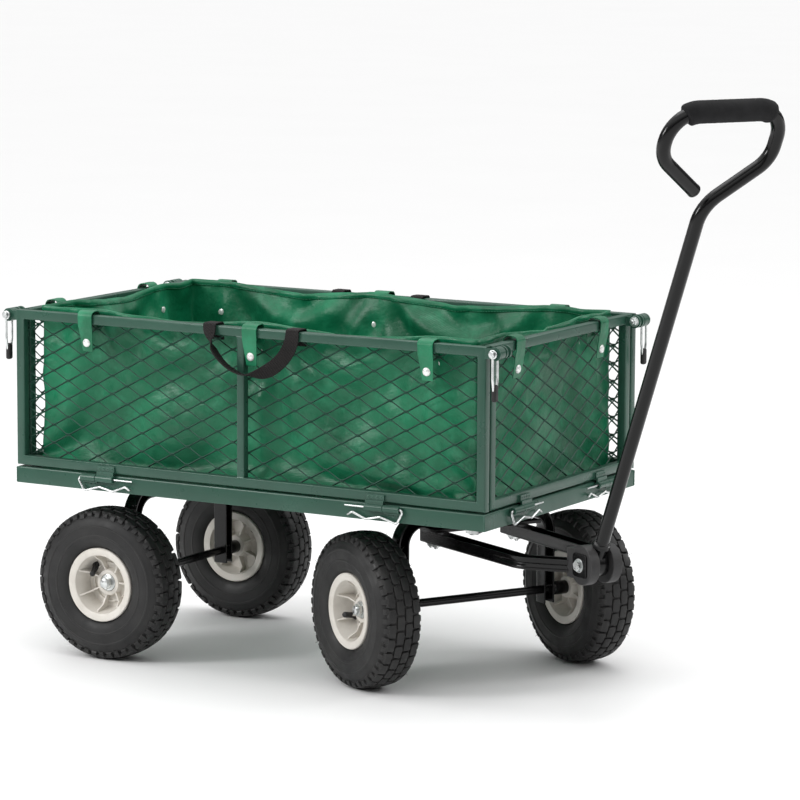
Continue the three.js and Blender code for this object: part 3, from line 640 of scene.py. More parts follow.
# ------------------------------------------------------------------ axles
def arch(end, place, body, bolster):
    """The bent channel that carries an axle, open to the front."""
    depth, width, wall, bend_r = 20, 26, 3, 40
    foot, weld, mid = 108, 137.6, ARCH_TOP - depth / 2
    legs = Shape()
    path = rounded_path([((0, -ARCH_HALF, foot), 0), ((0, -ARCH_HALF, mid), bend_r),
                         ((0, ARCH_HALF, mid), bend_r), ((0, ARCH_HALF, foot), 0)], 14)
    legs.sweep(channel(depth, width, wall), path, (1, 0, 0))
    if bolster:
        legs.box((-13, 13), (-98, 98), (250, 260.5))
        legs.box((-22, 46), (-104, 104), (254, 259.5))
    for y in (-ARCH_HALF, ARCH_HALF):
        for x in (-8, 8):
            legs.bead((x, y - 10.3, weld), (x, y + 10.3, weld), 1.6, seed=int(y + x))
    piece(f"{end}_arch_channel", legs, place, body, BLACK, [f"{end}_arch"], bevel=0.7)
    reach, rod_r, chamfer = 230.5, 7, 1.5
    rod = Shape().spindle((0, -reach, WHEEL_R), (0, 1, 0),
                          [(0, 5.6), (chamfer, rod_r), (2 * reach - chamfer, rod_r),
                           (2 * reach, 5.6)], 28)
    piece(f"{end}_axle_bar", rod, place, body, BLACK, [f"{end}_axle_rod"])
    washer, thread_pitch = 1.6, 0.9
    for side, outward in (("right", -1), ("left", 1)):
        face = HALF_TRACK + 8.5
        way = (0, outward, 0)
        nut = Shape().spindle((0, outward * face, WHEEL_R), way, [(0, 12.5), (washer, 12.5)], 28)
        nut.nut((0, outward * (face + washer), WHEEL_R), way, 11, 7.4)
        for k in range(4):
            start = face + 9 + k * thread_pitch
            nut.spindle((0, outward * start, WHEEL_R), way,
                        [(0, 7.1), (thread_pitch / 2, 7.7), (thread_pitch, 7.1)], 24)
        piece(f"nut_{end}_{side}", nut, place, body, ZINC, [f"axle_nut_{end}_{side}"], bevel=0.3)


def mounting_bolts():
    """Bolts through the axle pads, seen under the tray."""
    bolts = Shape()
    for x in (REAR_AXLE_X, KINGPIN_X):
        for dx in (-30, 30):
            for y in (-100, 100):
                bolts.bolt((x + dx, y, 281), (0, 0, -1), 8)
    piece("pad_bolts", bolts, CART, "cart", ZINC)


# ------------------------------------------------------------------ wheels
def tyre_point(angle, y, radius):
    return Vector((radius * cos(angle), y, radius * sin(angle)))


def tyre_shape():
    """A round balloon carcass with raised rings, four rows of staggered blocks and shoulder lugs."""
    s = Shape()
    bead_y = 28.4
    half = [(57, bead_y), (63.6, bead_y), (65, 31), (69, 34.6), (76, 37.6), (82.5, 38.8),
            (83.2, 39.5), (85.4, 39.6), (86.2, 39.0), (94, 39.3), (100.5, 38.9), (101.2, 39.6),
            (103.6, 39.4), (104.4, 38.6), (110, 36.9), (115, 33.9), (119, 30.2), (122, 26),
            (124.4, 19), (125.8, 11), (126.3, 0)]
    profile = half + [(r, -y) for r, y in reversed(half[:-1])]
    s.turned(profile, 96)
    pitches = 32
    step = 2 * pi / pitches
    for row, (y0, y1) in enumerate(((-29.5, -16.3), (-14.2, -1.1), (1.1, 14.2), (16.3, 29.5))):
        for k in range(pitches):
            tread_block(s, (k + 0.5 * (row % 2)) * step, 0.43 * step, y0, y1)
    lugs = 48
    step = 2 * pi / lugs
    for side in (-1, 1):
        for k in range(lugs):
            shoulder_lug(s, (k + 0.25) * step, 0.31 * step, side, k % 2)
    rnd = random.Random(4)
    for _ in range(40):
        angle = rnd.uniform(0, 2 * pi)
        side = rnd.choice((-1, 1))
        root = tyre_point(angle, side * rnd.uniform(28, 36), 121)
        out = Vector((cos(angle), side * 0.5, sin(angle)))
        s.spindle(root, out, [(-2, 0.4), (4, 0.3), (7.0, 0.1)], 5)
    return s


def crown(y):
    """The tread's radius, which falls away from the middle."""
    return WHEEL_R - 0.0042 * y * y


def tread_block(s, middle, half_angle, y0, y1):
    """One tread block: a rounded rectangle with a softened top edge."""
    half_long = half_angle * WHEEL_R
    half_wide = (y1 - y0) / 2
    centre = (y0 + y1) / 2
    rings = []
    for lift, inset in ((-5.0, -0.5), (-1.0, 0.0), (-0.2, 0.35), (0.0, 1.0)):
        outline = rounded_rectangle(half_long - inset, half_wide - inset, 3.0 - inset, 2)
        rings.append([tyre_point(middle + u / WHEEL_R, centre + v, crown(centre + v) + lift)
                      for u, v in outline])
    s.rings(rings)


def shoulder_lug(s, middle, half_angle, side, long):
    """A bar that wraps from the tread's edge down the shoulder."""
    foot = (116.2, 35.6) if long else (118.6, 34.4)
    profile = [(126.6, 28.2), (125.4, 30.6), (123.2, 32.6), (120.6, 34.0), foot]
    under = [(120, 25), (119, 27), (117.5, 28.5), (116, 30), (113.5, 31)]
    rings = []
    for (r, y), (r_in, y_in) in zip(profile, under):
        rings.append([tyre_point(middle - half_angle * 0.82, side * y, r),
                      tyre_point(middle + half_angle * 0.82, side * y, r),
                      tyre_point(middle + half_angle, side * (y - 0.8), r - 0.8),
                      tyre_point(middle + half_angle * 1.15, side * y_in, r_in),
                      tyre_point(middle - half_angle * 1.15, side * y_in, r_in),
                      tyre_point(middle - half_angle, side * (y - 0.8), r - 0.8)])
    s.rings(rings)


def rim_shape():
    """Moulded rim: flat lip, open dish with seven ribs each side, and a bearing hub."""
    s = Shape()
    lip_y, seat_y = 34.0, 28.7
    web_out, web_in = -2.5, -7
    hub_face, hub_back = 8, -26
    s.turned([(7.4, hub_back), (17.5, hub_back), (19, hub_back + 1.5), (21, web_in - 3),
              (24, web_in), (43, web_in), (45.5, web_in - 3), (49, -lip_y + 3.5),
              (50.5, -lip_y + 1.2), (61.5, -lip_y), (63, -lip_y + 1.5), (63, -seat_y),
              (56.7, -seat_y), (56.7, seat_y), (63, seat_y), (63.2, lip_y - 1.4), (62.0, lip_y),
              (60, lip_y + 0.2), (52.2, lip_y - 1.2), (50.6, lip_y - 2.0), (49.6, lip_y - 4.5),
              (46.4, 6), (43.5, web_out), (34.2, web_out), (33.8, 0.8), (31.6, 0.8),
              (31.2, web_out), (25, web_out), (23, 0), (22.2, hub_face - 1.5),
              (20.8, hub_face), (15, hub_face), (14.4, 5.2), (7.4, 5.2)], 72)
    for k in range(7):
        turned = spun(2 * pi * k / 7 + 0.3, 4, "Y")
        outward = turned @ spun(-pi / 2, 4, "X")
        s.plate([(20, web_out - 1), (48.5, web_out - 1), (49.5, lip_y - 6), (46, lip_y - 8.5),
                 (38, 13), (23, hub_face - 1.2), (20, hub_face - 1.2)], (-1.3, 1.3), outward)
        s.plate([(18, web_in + 1), (18, hub_back + 3), (38, -16), (46, -lip_y + 8.5),
                 (49.5, -lip_y + 6), (48.5, web_in + 1)], (-1.3, 1.3), outward)
    return s


def bearing_shape():
    return Shape().turned([(7.2, 5.4), (14.2, 5.4), (14.2, 8.2), (13.6, 8.6), (12.6, 8.6),
                           (11.9, 7.6), (9.9, 7.6), (9.2, 8.3), (7.2, 8.3)], 40)


def spacer_shape():
    """The sleeve between a wheel's hub and its arch."""
    return Shape().turned([(7.2, -25.8), (11, -25.8), (11.6, -27), (11.6, -53.5), (11, -54.5),
                           (7.2, -54.5)], 32)


def valve_shape(angle):
    """Rubber valve stem with its cap, leaning out of the rim's recess."""
    s = Shape()
    root = Vector((40 * cos(angle), -4, 40 * sin(angle)))
    lean = Vector((-0.5 * cos(angle), 1.0, -0.5 * sin(angle)))
    s.spindle(root, lean, [(0, 7.5), (2, 7), (5, 5.2), (22, 4.6), (23, 4.0), (24, 4.9), (33, 4.9),
                           (34.5, 4.2), (35, 3.2)], 20)
    return s


def wheels():
    """Four wheels from one tyre and one rim, each with its valve somewhere else round the hub."""
    tyre, rim, bearing = tyre_shape(), rim_shape(), bearing_shape()
    valve_angles = {("rear", "right"): 50, ("front", "right"): -14, ("rear", "left"): 60,
                    ("front", "left"): 300}
    for (end, side), angle in valve_angles.items():
        axle = REAR_AXLE if end == "rear" else FRONT_AXLE
        outward = -1 if side == "right" else 1
        place = axle @ moved((0, outward * HALF_TRACK, WHEEL_R))
        if outward < 0:
            place = place @ spun(pi, 4, "Z")
        place = place @ spun(radians(11), 4, "Y")
        body = f"wheel_{end}_{side}"
        piece(f"tread_{end}_{side}", tyre, place, body, RUBBER, [f"tyre_{end}_{side}"], smooth=32)
        piece(f"wheel_rim_{end}_{side}", rim, place, body, CREAM, [f"rim_{end}_{side}"], smooth=38)
        piece(f"bearing_{end}_{side}", bearing, place, body, ZINC)
        piece(f"spacer_{end}_{side}", spacer_shape(), place, body, BLACK)
        piece(f"valve_{end}_{side}", valve_shape(radians(angle)), place, body, RUBBER)


# ------------------------------------------------------------------ drawbar, yoke and handle
def pressed_channel(depth):
    """The drawbar's channel, with a groove of this depth pressed along the middle of each side."""
    half_wide, half_high, wall, soft = 13.5, 10, 3, 1.6

    def side(thick, low):
        points = []
        for height in range(-half_high, half_high + 1, 2):
            groove = depth * exp(-((height + 0.5) / 2.6) ** 2)
            fold = soft if height == -half_high else 0
            if height > low:
                points.append((half_wide - thick - groove - fold, height))
        return points

    outer = side(0, -half_high - 1)
    inner = side(wall, wall - half_high)
    return ([(-u, v) for u, v in reversed(outer)] + outer + inner[::-1] +
            [(-u, v) for u, v in inner])


def subdivided(points, step):
    """The same path with more points, so that none are much further apart than a step."""
    dense = []
    for a, b in zip(points, points[1:]):
        count = max(1, int((b - a).length / step))
        dense += [a.lerp(b, k / count) for k in range(count)]
    return dense + [points[-1]]


def drawbars():
    """Two channels that lean together towards the yoke, each with a flat plate over its ear."""
    height, groove, groove_start, groove_run = 239.7, 3.6, 190, 40
    for side, name in ((-1, "right"), (1, "left")):
        bar = Shape()
        path = rounded_path([((-22, side * 79, height), 0), ((262, side * 72, height), 45),
                             ((332, side * 11.5, height), 0)], 16)
        path = [p for p in path if p.x < 320] + [Vector((325.5, side * 17.2, height))]
        path = subdivided(path, 12)
        pressed = [groove * max(0.0, min(1.0, (p.x - groove_start) / groove_run)) for p in path]
        bar.sweep(lambda i: pressed_channel(pressed[i]), path, (0, 0, 1))
        plate = [(YOKE_X + u, YOKE_Z + v) for u, v in rounded_rectangle(19, 19, 6)]
        bar.plate(plate, (side * 29.3, side * 32.3))
        piece(f"bar_{name}", bar, FRONT_AXLE, "front_axle", BLACK, [f"drawbar_{name}"], bevel=0.5)
    bolts = Shape()
    for side in (-1, 1):
        for x in (-8, 8):
            bolts.bolt((x, side * 79, 229.4), (0, 0, -1), 6.5)
    piece("bar_bolts", bolts, FRONT_AXLE, "front_axle", ZINC)


def yoke():
    """Two round-ended cheeks joined by a block behind, and the bolt that the handle turns on."""
    s = Shape()
    r, back, half_h = 32, 326, 24
    low, high = YOKE_Z - half_h, YOKE_Z + half_h
    start = atan2(-half_h, -sqrt(r * r - half_h * half_h))
    arc = [(YOKE_X + r * cos(a), YOKE_Z + r * sin(a))
           for a in (start * (1 - k / 20) for k in range(41))]
    for cheek in ((12.5, 29.5), (-29.5, -12.5)):
        s.plate([(back, low)] + arc + [(back, high)], cheek)
    s.box((back, YOKE_X - 24), (-12.6, 12.6), (low, high))
    piece("yoke_casting", s, FRONT_AXLE, "front_axle", CAST, ["yoke"], bevel=1.6)
    bolt = Shape()
    for side in (-1, 1):
        bolt.spindle((YOKE_X, side * 32.2, YOKE_Z), (0, side, 0), [(0, 11.5), (1.4, 11.5)], 28)
        bolt.nut((YOKE_X, side * 33.6, YOKE_Z), (0, side, 0), 9.5, 5)
    bolt.spindle((YOKE_X, -38, YOKE_Z), (0, 1, 0), [(0, 4.5), (1, 5.6), (75, 5.6), (76, 4.5)], 20)
    piece("yoke_bolt", bolt, FRONT_AXLE, "front_axle", ZINC, ["handle_bolt"], bevel=0.4)


HANDLE_TOP = 815
BEND_STEPS = 12


def handle_path():
    """Up from the bolt, out to one side, across the top and back, ending short of the shaft."""
    top, bend = HANDLE_TOP, 48
    return rounded_path([((0, 0, 12), 0), ((0, 0, top - 163), 60), ((0, 102, top - 86), bend),
                         ((0, 102, top), bend), ((0, -102, top), bend),
                         ((0, -102, top - 74), bend), ((0, -23, top - 135), 0)], BEND_STEPS)


def spaced(points, count):
    """A path's total length, and count + 1 points at even distances along it."""
    lengths = [0]
    for a, b in zip(points, points[1:]):
        lengths.append(lengths[-1] + (b - a).length)
    even = []
    for k in range(count + 1):
        d = lengths[-1] * k / count
        i = max(j for j in range(len(points) - 1) if lengths[j] <= d + 1e-6)
        even.append(points[i].lerp(points[i + 1], (d - lengths[i]) / (lengths[i + 1] - lengths[i])))
    return lengths[-1], even


def handle():
    """One bent tube with an eye for the bolt and a rolled open end."""
    tube = Shape()
    path = handle_path()
    tube.sweep(circle(11, 28), path, (1, 0, 0))
    tube.spindle((0, -12, 0), (0, 1, 0), [(0, 19), (1, 20), (23, 20), (24, 19)], 40)
    tube.spindle((0, 0, 10), (0, 0, 1),
                 [(0, 12), (22.6, 12), (23.4, 14.8), (29, 14.2), (31, 11.3)], 32)
    end = path[-1]
    way = (end - path[-2]).normalized()
    tube.spindle(end - way * 3, way, [(0, 11.3), (3.4, 11.3), (4.6, 10.2), (4.6, 8.6), (1.2, 8.2)], 28)
    piece("handle_tube", tube, HANDLE, "pull_handle", BLACK, ["handle"])


def grip():
    """A foam sleeve along the top of the loop, rounded over at its ends."""
    count, radius, shoulder = 60, 17.5, 6
    start = 3 * (BEND_STEPS + 1) - 4
    total, spine = spaced(handle_path()[start:start + 10], count)

    def section(i):
        d = min(i, count - i) * total / count
        r = radius if d > shoulder else radius - 5 + 5 * sqrt(1 - (1 - d / shoulder) ** 2)
        return circle(r + 0.25 * noise.noise(Vector((i * 0.4, 0, 0))), 32)

    sleeve = Shape().sweep(section, spine, (1, 0, 0))
    piece("foam_grip", sleeve, HANDLE, "pull_handle", FOAM, ["handle_grip"])


# ------------------------------------------------------------------ panels
def disc_ear(shape, centre, root, y, at=None):
    """A round-ended ear in the XZ plane: a disc joined to a straight root."""
    x, z = centre
    direction = copysign(1, x - root)
    radius, neck, steps = 11, 8, 28
    start = asin(neck / radius)
    angles = [start + (2 * pi - 2 * start) * k / steps for k in range(steps + 1)]
    arc = [(x - direction * radius * cos(a), z + radius * sin(a)) for a in angles]
    shape.plate([(root, z + neck)] + arc + [(root, z - neck)], y, at)


def panel_frame(half):
    """Four rails of square tube, with a weld bead along each face of each corner's mitre."""
    s = Shape()
    mid = FRAME_TUBE / 2
    x, low, high = half - mid, PANEL_BOTTOM + mid, PANEL_TOP - mid
    corners = [(-x, mid, low), (-x, mid, high), (x, mid, high), (x, mid, low)]
    s.sweep(rounded_rectangle(mid, mid, 2.6), corners, (0, 1, 0), closed=True)
    for x, _, z in corners:
        in_x, in_z = copysign(1, -x), 1 if z == low else -1
        for y in (1.2, FRAME_TUBE - 1.2):
            s.bead((x + in_x * 7.8, y, z + in_z * 8.6), (x - in_x * 6.5, y, z - in_z * 6.5),
                   0.9, seed=int(abs(x) + z))
    return s


def middle_post(s, x):
    post = rounded_rectangle(7, 7.5, 2.2)
    mid = FRAME_TUBE / 2
    s.sweep(post, [(x, mid, PANEL_BOTTOM + 15), (x, mid, PANEL_TOP - 15)], (0, 1, 0))
    for z in (PANEL_BOTTOM + 16, PANEL_TOP - 16):
        s.bead((x - 7, 0.8, z), (x + 7, 0.8, z), 1.3, seed=int(z))


def hinge_leaf(s, hinge):
    """The knuckle under the bottom rail, its strip, and the plate welded up the rail's face."""
    x0, x1 = hinge - 16.6, hinge + 16.6
    rolled_knuckle(s, hinge - 17, hinge + 17, Matrix())
    s.box((x0, x1), (-6.6, -3.6), (PIN_Z + 2, PANEL_BOTTOM + 3))
    low, high = PANEL_BOTTOM + 1, PANEL_BOTTOM + 12
    s.plate([(x0, low), (x1, low), (x1, high), (x0, high)], (-3.8, 0.5))
    for k in range(4):
        s.spindle((hinge - 12 + 8 * k, -3.4, PANEL_BOTTOM + 8), (0, -1, 0),
                  [(0, 2.4), (0.9, 1.9), (1.3, 0.9)], 10)


def panel(side):
    """A side panel has a middle post and one ear at each end; an end panel has a pair of ears."""
    face, hinges, half = SIDES[side][1:]
    s = panel_frame(half)
    if face == HALF_W:
        middle_post(s, 5 if side == "left" else -5)
    for direction in (-1, 1):
        x = direction * half
        if face == HALF_W:
            disc_ear(s, (x + direction * LATCH_REACH, LATCH_Z), x - direction * 3, (0.2, 4.2))
            continue
        for offset in (-16, -4):
            at = moved((x + direction * offset, 0, 0)) @ spun(
                -pi / 2, 4, "Z")
            disc_ear(s, (LATCH_REACH, LATCH_Z), -1.5, (-2, 2), at)
    for hinge in hinges:
        hinge_leaf(s, hinge)
    place, body = side_place(side), f"fold_{side}"
    piece(f"frame_{side}", s, place, body, GREEN, [f"panel_{side}"], smooth=32)
    net = Shape()
    expanded_metal(net, (-half + 9, half - 9), (PANEL_BOTTOM + 9, PANEL_TOP - 9), MESH_Y)
    piece(f"net_{side}", net, place, body, MESH_GREEN, [f"mesh_{side}"])
    if face == HALF_L:
        nuts = Shape()
        for direction in (-1, 1):
            x = direction * (half - 18)
            nuts.bolt((x, -LATCH_REACH, LATCH_Z), (-direction, 0, 0), 6.4)
            nuts.nut((x + direction * 4.2, -LATCH_REACH, LATCH_Z), (direction, 0, 0), 7, 5)
        piece(f"ear_bolts_{side}", nuts, place, body, ZINC, bevel=0.3)


def hinge_clip(side, index, hinge):
    """A hairpin of wire: the straight leg is the hinge's pin and the wavy leg hangs below it."""
    bend = copysign(1, hinge)
    bends = ((-55, 0, 0), (55, 0, 4), (42, 23, 5), (11, 14, 8), (-16, 20, 8), (-41, 10, 5),
             (-50, 15.5, 0))
    path = rounded_path([((hinge + bend * along, PIN_Y, PIN_Z - down), radius)
                         for along, down, radius in bends], 6)
    ends = (0, len(path) - 1)
    wire = Shape().sweep(lambda i: circle(1.3 if i in ends else 2, 12), path, (0, 1, 0))
    piece(f"hairpin_{side}_{index}", wire, side_place(side), f"pin_{side}_{index}", ZINC,
          [f"clip_{side}_{index}"], smooth=60)


def latch(end, side):
    """A bolt through the side panel's ear, a green barrel, a wire bail and its rubber sleeve."""
    direction = (1 if end == "front" else -1) * (1 if side == "right" else -1)
    x = direction * (HALF_L + LATCH_REACH)
    place, body = side_place(side), f"bail_{end}_{side}"
    barrel = Shape().spindle((x, 4.6, LATCH_Z), (0, 1, 0),
                             [(0, 10.2), (0.8, 11), (13.4, 11), (14.2, 10.2)], 32)
    piece(f"barrel_{end}_{side}", barrel, place, body, GREEN, [f"latch_{end}_{side}"])
    bolt = Shape().nut((x, -8, LATCH_Z), (0, -1, 0), 5.6, 3.6)
    bolt.spindle((x, -8.4, LATCH_Z), (0, 1, 0), [(0, 4), (24, 4)], 16)
    piece(f"cross_bolt_{end}_{side}", bolt, place, body, ZINC, bevel=0.3)
    outer, inner, bottom = -6.2, 10.2, LATCH_Z - 72
    low_out = outer + 4.4
    half_bail = ((outer, LATCH_Z, 0), (outer, LATCH_Z - 40, 12), (low_out, bottom + 10, 12),
                 (low_out, bottom, 3.5))
    other_half = [(outer + inner - y, z, radius) for y, z, radius in reversed(half_bail)]
    path = rounded_path([((x, y, z), radius) for y, z, radius in [*half_bail, *other_half]], 5)
    wire = Shape().sweep(circle(2, 12), path, (1, 0, 0))
    for y in (outer, inner):
        eye = [(5.9 + u, v) for u, v in circle(1.7, 10)]
        wire.turned(eye, 24, moved((x, y, LATCH_Z)))
    piece(f"bail_wire_{end}_{side}", wire, place, body, ZINC, smooth=60)
    middle = (outer + inner) / 2
    outline = rounded_rectangle(4.2, 6.4, 3.9, 4)
    tall = [(-4, 0.55), (-3, 0.85), (-1, 1.0), (20, 1.0), (22, 0.9), (23, 0.6)]
    sleeve = Shape().rings([[(x + u * k, middle + v * k, bottom + z) for u, v in outline]
                            for z, k in tall])
    piece(f"sleeve_{end}_{side}", sleeve, place, body, RUBBER)


# ------------------------------------------------------------------ straps and webbing handles
STRAPS = {
    "right": (-310, 15, 347),
    "left": (362, 35, -313),
    "front": (-153, 137),
    "rear": (156, -123),
}


def band(name, side, centres, widths, thickness, material, node):
    """A flat band of cloth on a panel, through centre points with a half-width vector at each."""
    rings = []
    last = len(centres) - 1
    for i, (c, w) in enumerate(zip(centres, widths)):
        tangent = (centres[min(i + 1, last)] - centres[max(i - 1, 0)]).normalized()
        out = w.cross(tangent).normalized() * thickness / 2
        rings.append([c - w - out, c + w - out, c + w + out, c - w + out])
    obj = piece(name, Shape().rings(rings), side_place(side), f"fold_{side}", material, [node],
                bevel=0.4)


def strap(side, index, x):
    """Fabric strap: sewn to the liner's hem, over the rail in a loose arch, snapped at the mesh."""
    rnd = random.Random(f"{side}{index}")
    lift = rnd.uniform(5, 9)
    sway = rnd.uniform(-2, 2)
    path = rounded_path([((x, 21.6, PANEL_TOP - 28), 0), ((x, 21.6, PANEL_TOP + lift), 9),
                         ((x, -4.5, PANEL_TOP + lift - 2), 9), ((x, -2.4, PANEL_TOP - 22), 40),
                         ((x, 4.5, PANEL_TOP - 62), 0)], 8)
    taper = PANEL_TOP - 56
    centres, widths = [], []
    for i, p in enumerate(path):
        t = i / (len(path) - 1)
        half = 14 if p.z > taper or p.y > 18 else 14 - (taper - p.z) * 0.6
        centres.append(p + Vector((sway * sin(pi * t), 0, 0)))
        widths.append(Vector((half, 0.9 * sin(5 * t), 0)))
    band(f"fabric_strap_{side}_{index}", side, centres, widths, 1.5, TARP,
         f"strap_{side}_{index}")
    snap = Shape().spindle((x + sway * 0.3, 1.0, PANEL_TOP - 47), (0, -1, 0),
                           [(-1, 7.2), (0.6, 7.2), (1.6, 6.4), (2.4, 4.6), (2.9, 2.2)], 28)
    piece(f"snap_{side}_{index}", snap, side_place(side), f"fold_{side}", SNAP)


def carry_handle(side):
    """Webbing over the side rail at two places, with the hanging loop twisted between them."""
    middle = 42 if side == "left" else 18
    half, drop, half_wide, count = 80, 70, 12, 48
    centres = []
    for k in range(count + 1):
        hang = sin(pi * k / count)
        reach = half * cos(pi * k / count) * (1 - 0.16 * hang ** 2)
        depth = drop * hang ** 0.75 * (1 + 0.12 * hang)
        centres.append(Vector((middle - reach, -3.5 - 9 * hang, PANEL_TOP + 2 - depth)))
    edge, inward = Vector((1, 0, 0)), Vector((0, 1, 0))
    widths = []
    for k in range(count + 1):
        t = k / count
        tangent = (centres[min(k + 1, count)] - centres[max(k - 1, 0)]).normalized()
        roll = 80 * min(1, t / 0.14) if t < 0.5 else 80 - 62 * min(1, (t - 0.5) / 0.2)
        roll = radians(roll)
        way = inward.cross(tangent).normalized() * cos(roll) + inward * sin(roll)
        if way.dot(edge) < 0:
            way = -way
        blend = min(1, min(t, 1 - t) / 0.08)
        width = (edge * (1 - blend) + way * blend).normalized() * half_wide
        widths.append(-width if widths and width.dot(widths[-1]) < 0 else width)

    def over_rail(x):
        return rounded_path([((x, 21.8, PANEL_TOP - 26), 0), ((x, 21.8, PANEL_TOP + 3.4), 4),
                             ((x, -3.5, PANEL_TOP + 3.2), 4), ((x, -3.5, PANEL_TOP + 1), 0)], 6)[:-1]

    near, far = over_rail(middle - half), over_rail(middle + half)[::-1]
    first, last = (edge * copysign(half_wide, widths[i].x) for i in (0, -1))
    widths = [first] * len(near) + widths + [last] * len(far)
    band(f"webbing_handle_{side}", side, near + centres + far, widths, 1.9, WEB,
         f"carry_handle_{side}")


# ------------------------------------------------------------------ liner
LINER_HALF_L = 424
LINER_HALF_W = 234
LINER_BOTTOM = 325.5
LINER_TOP = 599


def liner_mesh(cell=11.0):
    """The open bag as one grid: walls and floor share their edges, ready to be draped.
    Returns its vertices, its faces, and the two rings of vertices along its top."""
    nx = round(2 * LINER_HALF_L / cell)
    ny = round(2 * LINER_HALF_W / cell)
    nz = round((LINER_TOP - LINER_BOTTOM) / cell)
    index, verts, faces = {}, [], []

    def quad(*corners):
        for key in corners:
            if key not in index:
                index[key] = len(verts)
                verts.append(Vector((-LINER_HALF_L + 2 * LINER_HALF_L * key[0] / nx,
                                     -LINER_HALF_W + 2 * LINER_HALF_W * key[1] / ny,
                                     LINER_BOTTOM + (LINER_TOP - LINER_BOTTOM) * key[2] / nz)))
        faces.append([index[key] for key in corners])

    for i in range(nx):
        for j in range(ny):
            quad((i, j, 0), (i + 1, j, 0), (i + 1, j + 1, 0), (i, j + 1, 0))
    for k in range(nz):
        for i in range(nx):
            quad((i + 1, 0, k), (i, 0, k), (i, 0, k + 1), (i + 1, 0, k + 1))
            quad((i, ny, k), (i + 1, ny, k), (i + 1, ny, k + 1), (i, ny, k + 1))
        for j in range(ny):
            quad((0, j, k), (0, j + 1, k), (0, j + 1, k + 1), (0, j, k + 1))
            quad((nx, j + 1, k), (nx, j, k), (nx, j, k + 1), (nx, j + 1, k + 1))

    def ring(k):
        loop = [(i, 0) for i in range(nx)] + [(nx, j) for j in range(ny)]
        loop += [(i, ny) for i in range(nx, 0, -1)] + [(0, j) for j in range(ny, 0, -1)]
        return [index[(i, j, k)] for i, j in loop]

    return verts, faces, (ring(nz - 1), ring(nz))


def hem_pins():
    """Where the straps hold the hem, in cart millimetres."""
    return [side_turn(side) @ Vector((x, 24.5, LINER_TOP)) for side in STRAPS for x in STRAPS[side]]


def crumple(p):
    """Folding creases left in the tarpaulin: sharp ridges of a few sizes."""
    a = noise.noise(p * 0.0065 + Vector((3, 7, 1)))
    b = noise.noise(Vector((p.x + p.z * 0.8, p.y, p.z - p.x * 0.6)) * 0.017)
    c = noise.noise(p * 0.045 + Vector((9, 2, 5)))
    return 9.0 * (0.5 - abs(a)) + 5.5 * (0.5 - abs(b)) + 1.6 * c


def pull_folds(along, height, half):
    """Folds pulled from each end of a wall's foot up towards the straps, as an inward depth."""
    depth = 0.0
    for end in (-1, 1):
        for reach, crest in ((0.55, 8.0), (1.0, 10.0), (1.5, 7.0)):
            run = (end * half - along) * end
            line = run / (reach * half)
            off = (height - line) * 150
            fade = max(0.0, min(1.0, run / 60)) * max(0.0, min(1.0, (1.9 * half - run) / 100))
            depth += crest * fade * exp(-(off / 16) ** 2)
    return depth


def slack(v):
    """A point of the bag before it is draped, with its walls already crumpled inwards."""
    height = (v.z - LINER_BOTTOM) / (LINER_TOP - LINER_BOTTOM)
    push = crumple(v) * min(1.0, 0.25 + 2.2 * height * (1.15 - height)) * 0.6
    p = v.copy()
    if abs(v.x) > LINER_HALF_L - 1:
        p.x -= copysign(push, v.x)
    if abs(v.y) > LINER_HALF_W - 1:
        p.y -= copysign(push, v.y)
    return p


def add_folds(mesh):
    """Creases and pulled folds in the draped walls, always inwards, away from the mesh panels."""
    back = CART.inverted()
    mesh.update()
    normals = [v.normal.copy() for v in mesh.vertices]
    for v, normal in zip(mesh.vertices, normals):
        p = back @ v.co
        height = (p.z - LINER_BOTTOM) / (LINER_TOP - LINER_BOTTOM)
        if height < 0.04:
            continue
        on_long_wall = abs(normal.y) > abs(normal.x)
        along, half = (p.x, LINER_HALF_L) if on_long_wall else (p.y, LINER_HALF_W)
        edge = min(1.0, height / 0.15) * min(1.0, max(0.0, 1.06 - height) / 0.2)
        corner = min(1.0, max(0.0, half - abs(along)) / 25)
        push = (crumple(p) + 0.8 * pull_folds(along, height, half)) * edge * corner
        inward = Vector((-copysign(abs(normal.x), p.x), -copysign(abs(normal.y), p.y), 0))
        v.co += inward * max(0.0, push) / 1000


def hem(mesh, rings):
    """The liner's folded top edge and the two lines of stitches that hold it."""
    back = CART.inverted()
    lower, upper = ([back @ mesh.vertices[i].co for i in ring] for ring in rings)
    count = len(lower)
    edge = Shape()
    edge.add(lower + upper, [(i, (i + 1) % count, count + (i + 1) % count, count + i)
                             for i in range(count)])
    folded = piece("liner_hem", edge, CART, "liner_bag", TARP)
    cloth_finish(folded, 0.003)
    thread = Shape()
    for i in range(count):
        after = (i + 1) % count
        start = lower[i].lerp(upper[i], 0.15)
        along = lower[after].lerp(upper[after], 0.15) - start
        out = along.cross(upper[i] - lower[i]).normalized()
        stitch = [(0, 0.25), (0.6, 0.5), (along.length * 0.32, 0.5), (along.length * 0.38, 0.25)]
        for face in (-1.6, 1.6):
            for share in (0.06, 0.56):
                thread.spindle(start + along * share + out * face, along, stitch, 6)
    stitches = piece("liner_stitches", thread, CART, "liner_bag", THREAD)
    return [folded, stitches]


def cloth_finish(obj, thickness):
    """Smooths a sheet once and gives it its thickness, in metres."""
    finer = obj.modifiers.new("finer", "SUBSURF")
    finer.levels = finer.render_levels = 1
    cloth = obj.modifiers.new("thickness", "SOLIDIFY")
    cloth.thickness = thickness
    cloth.offset = 0


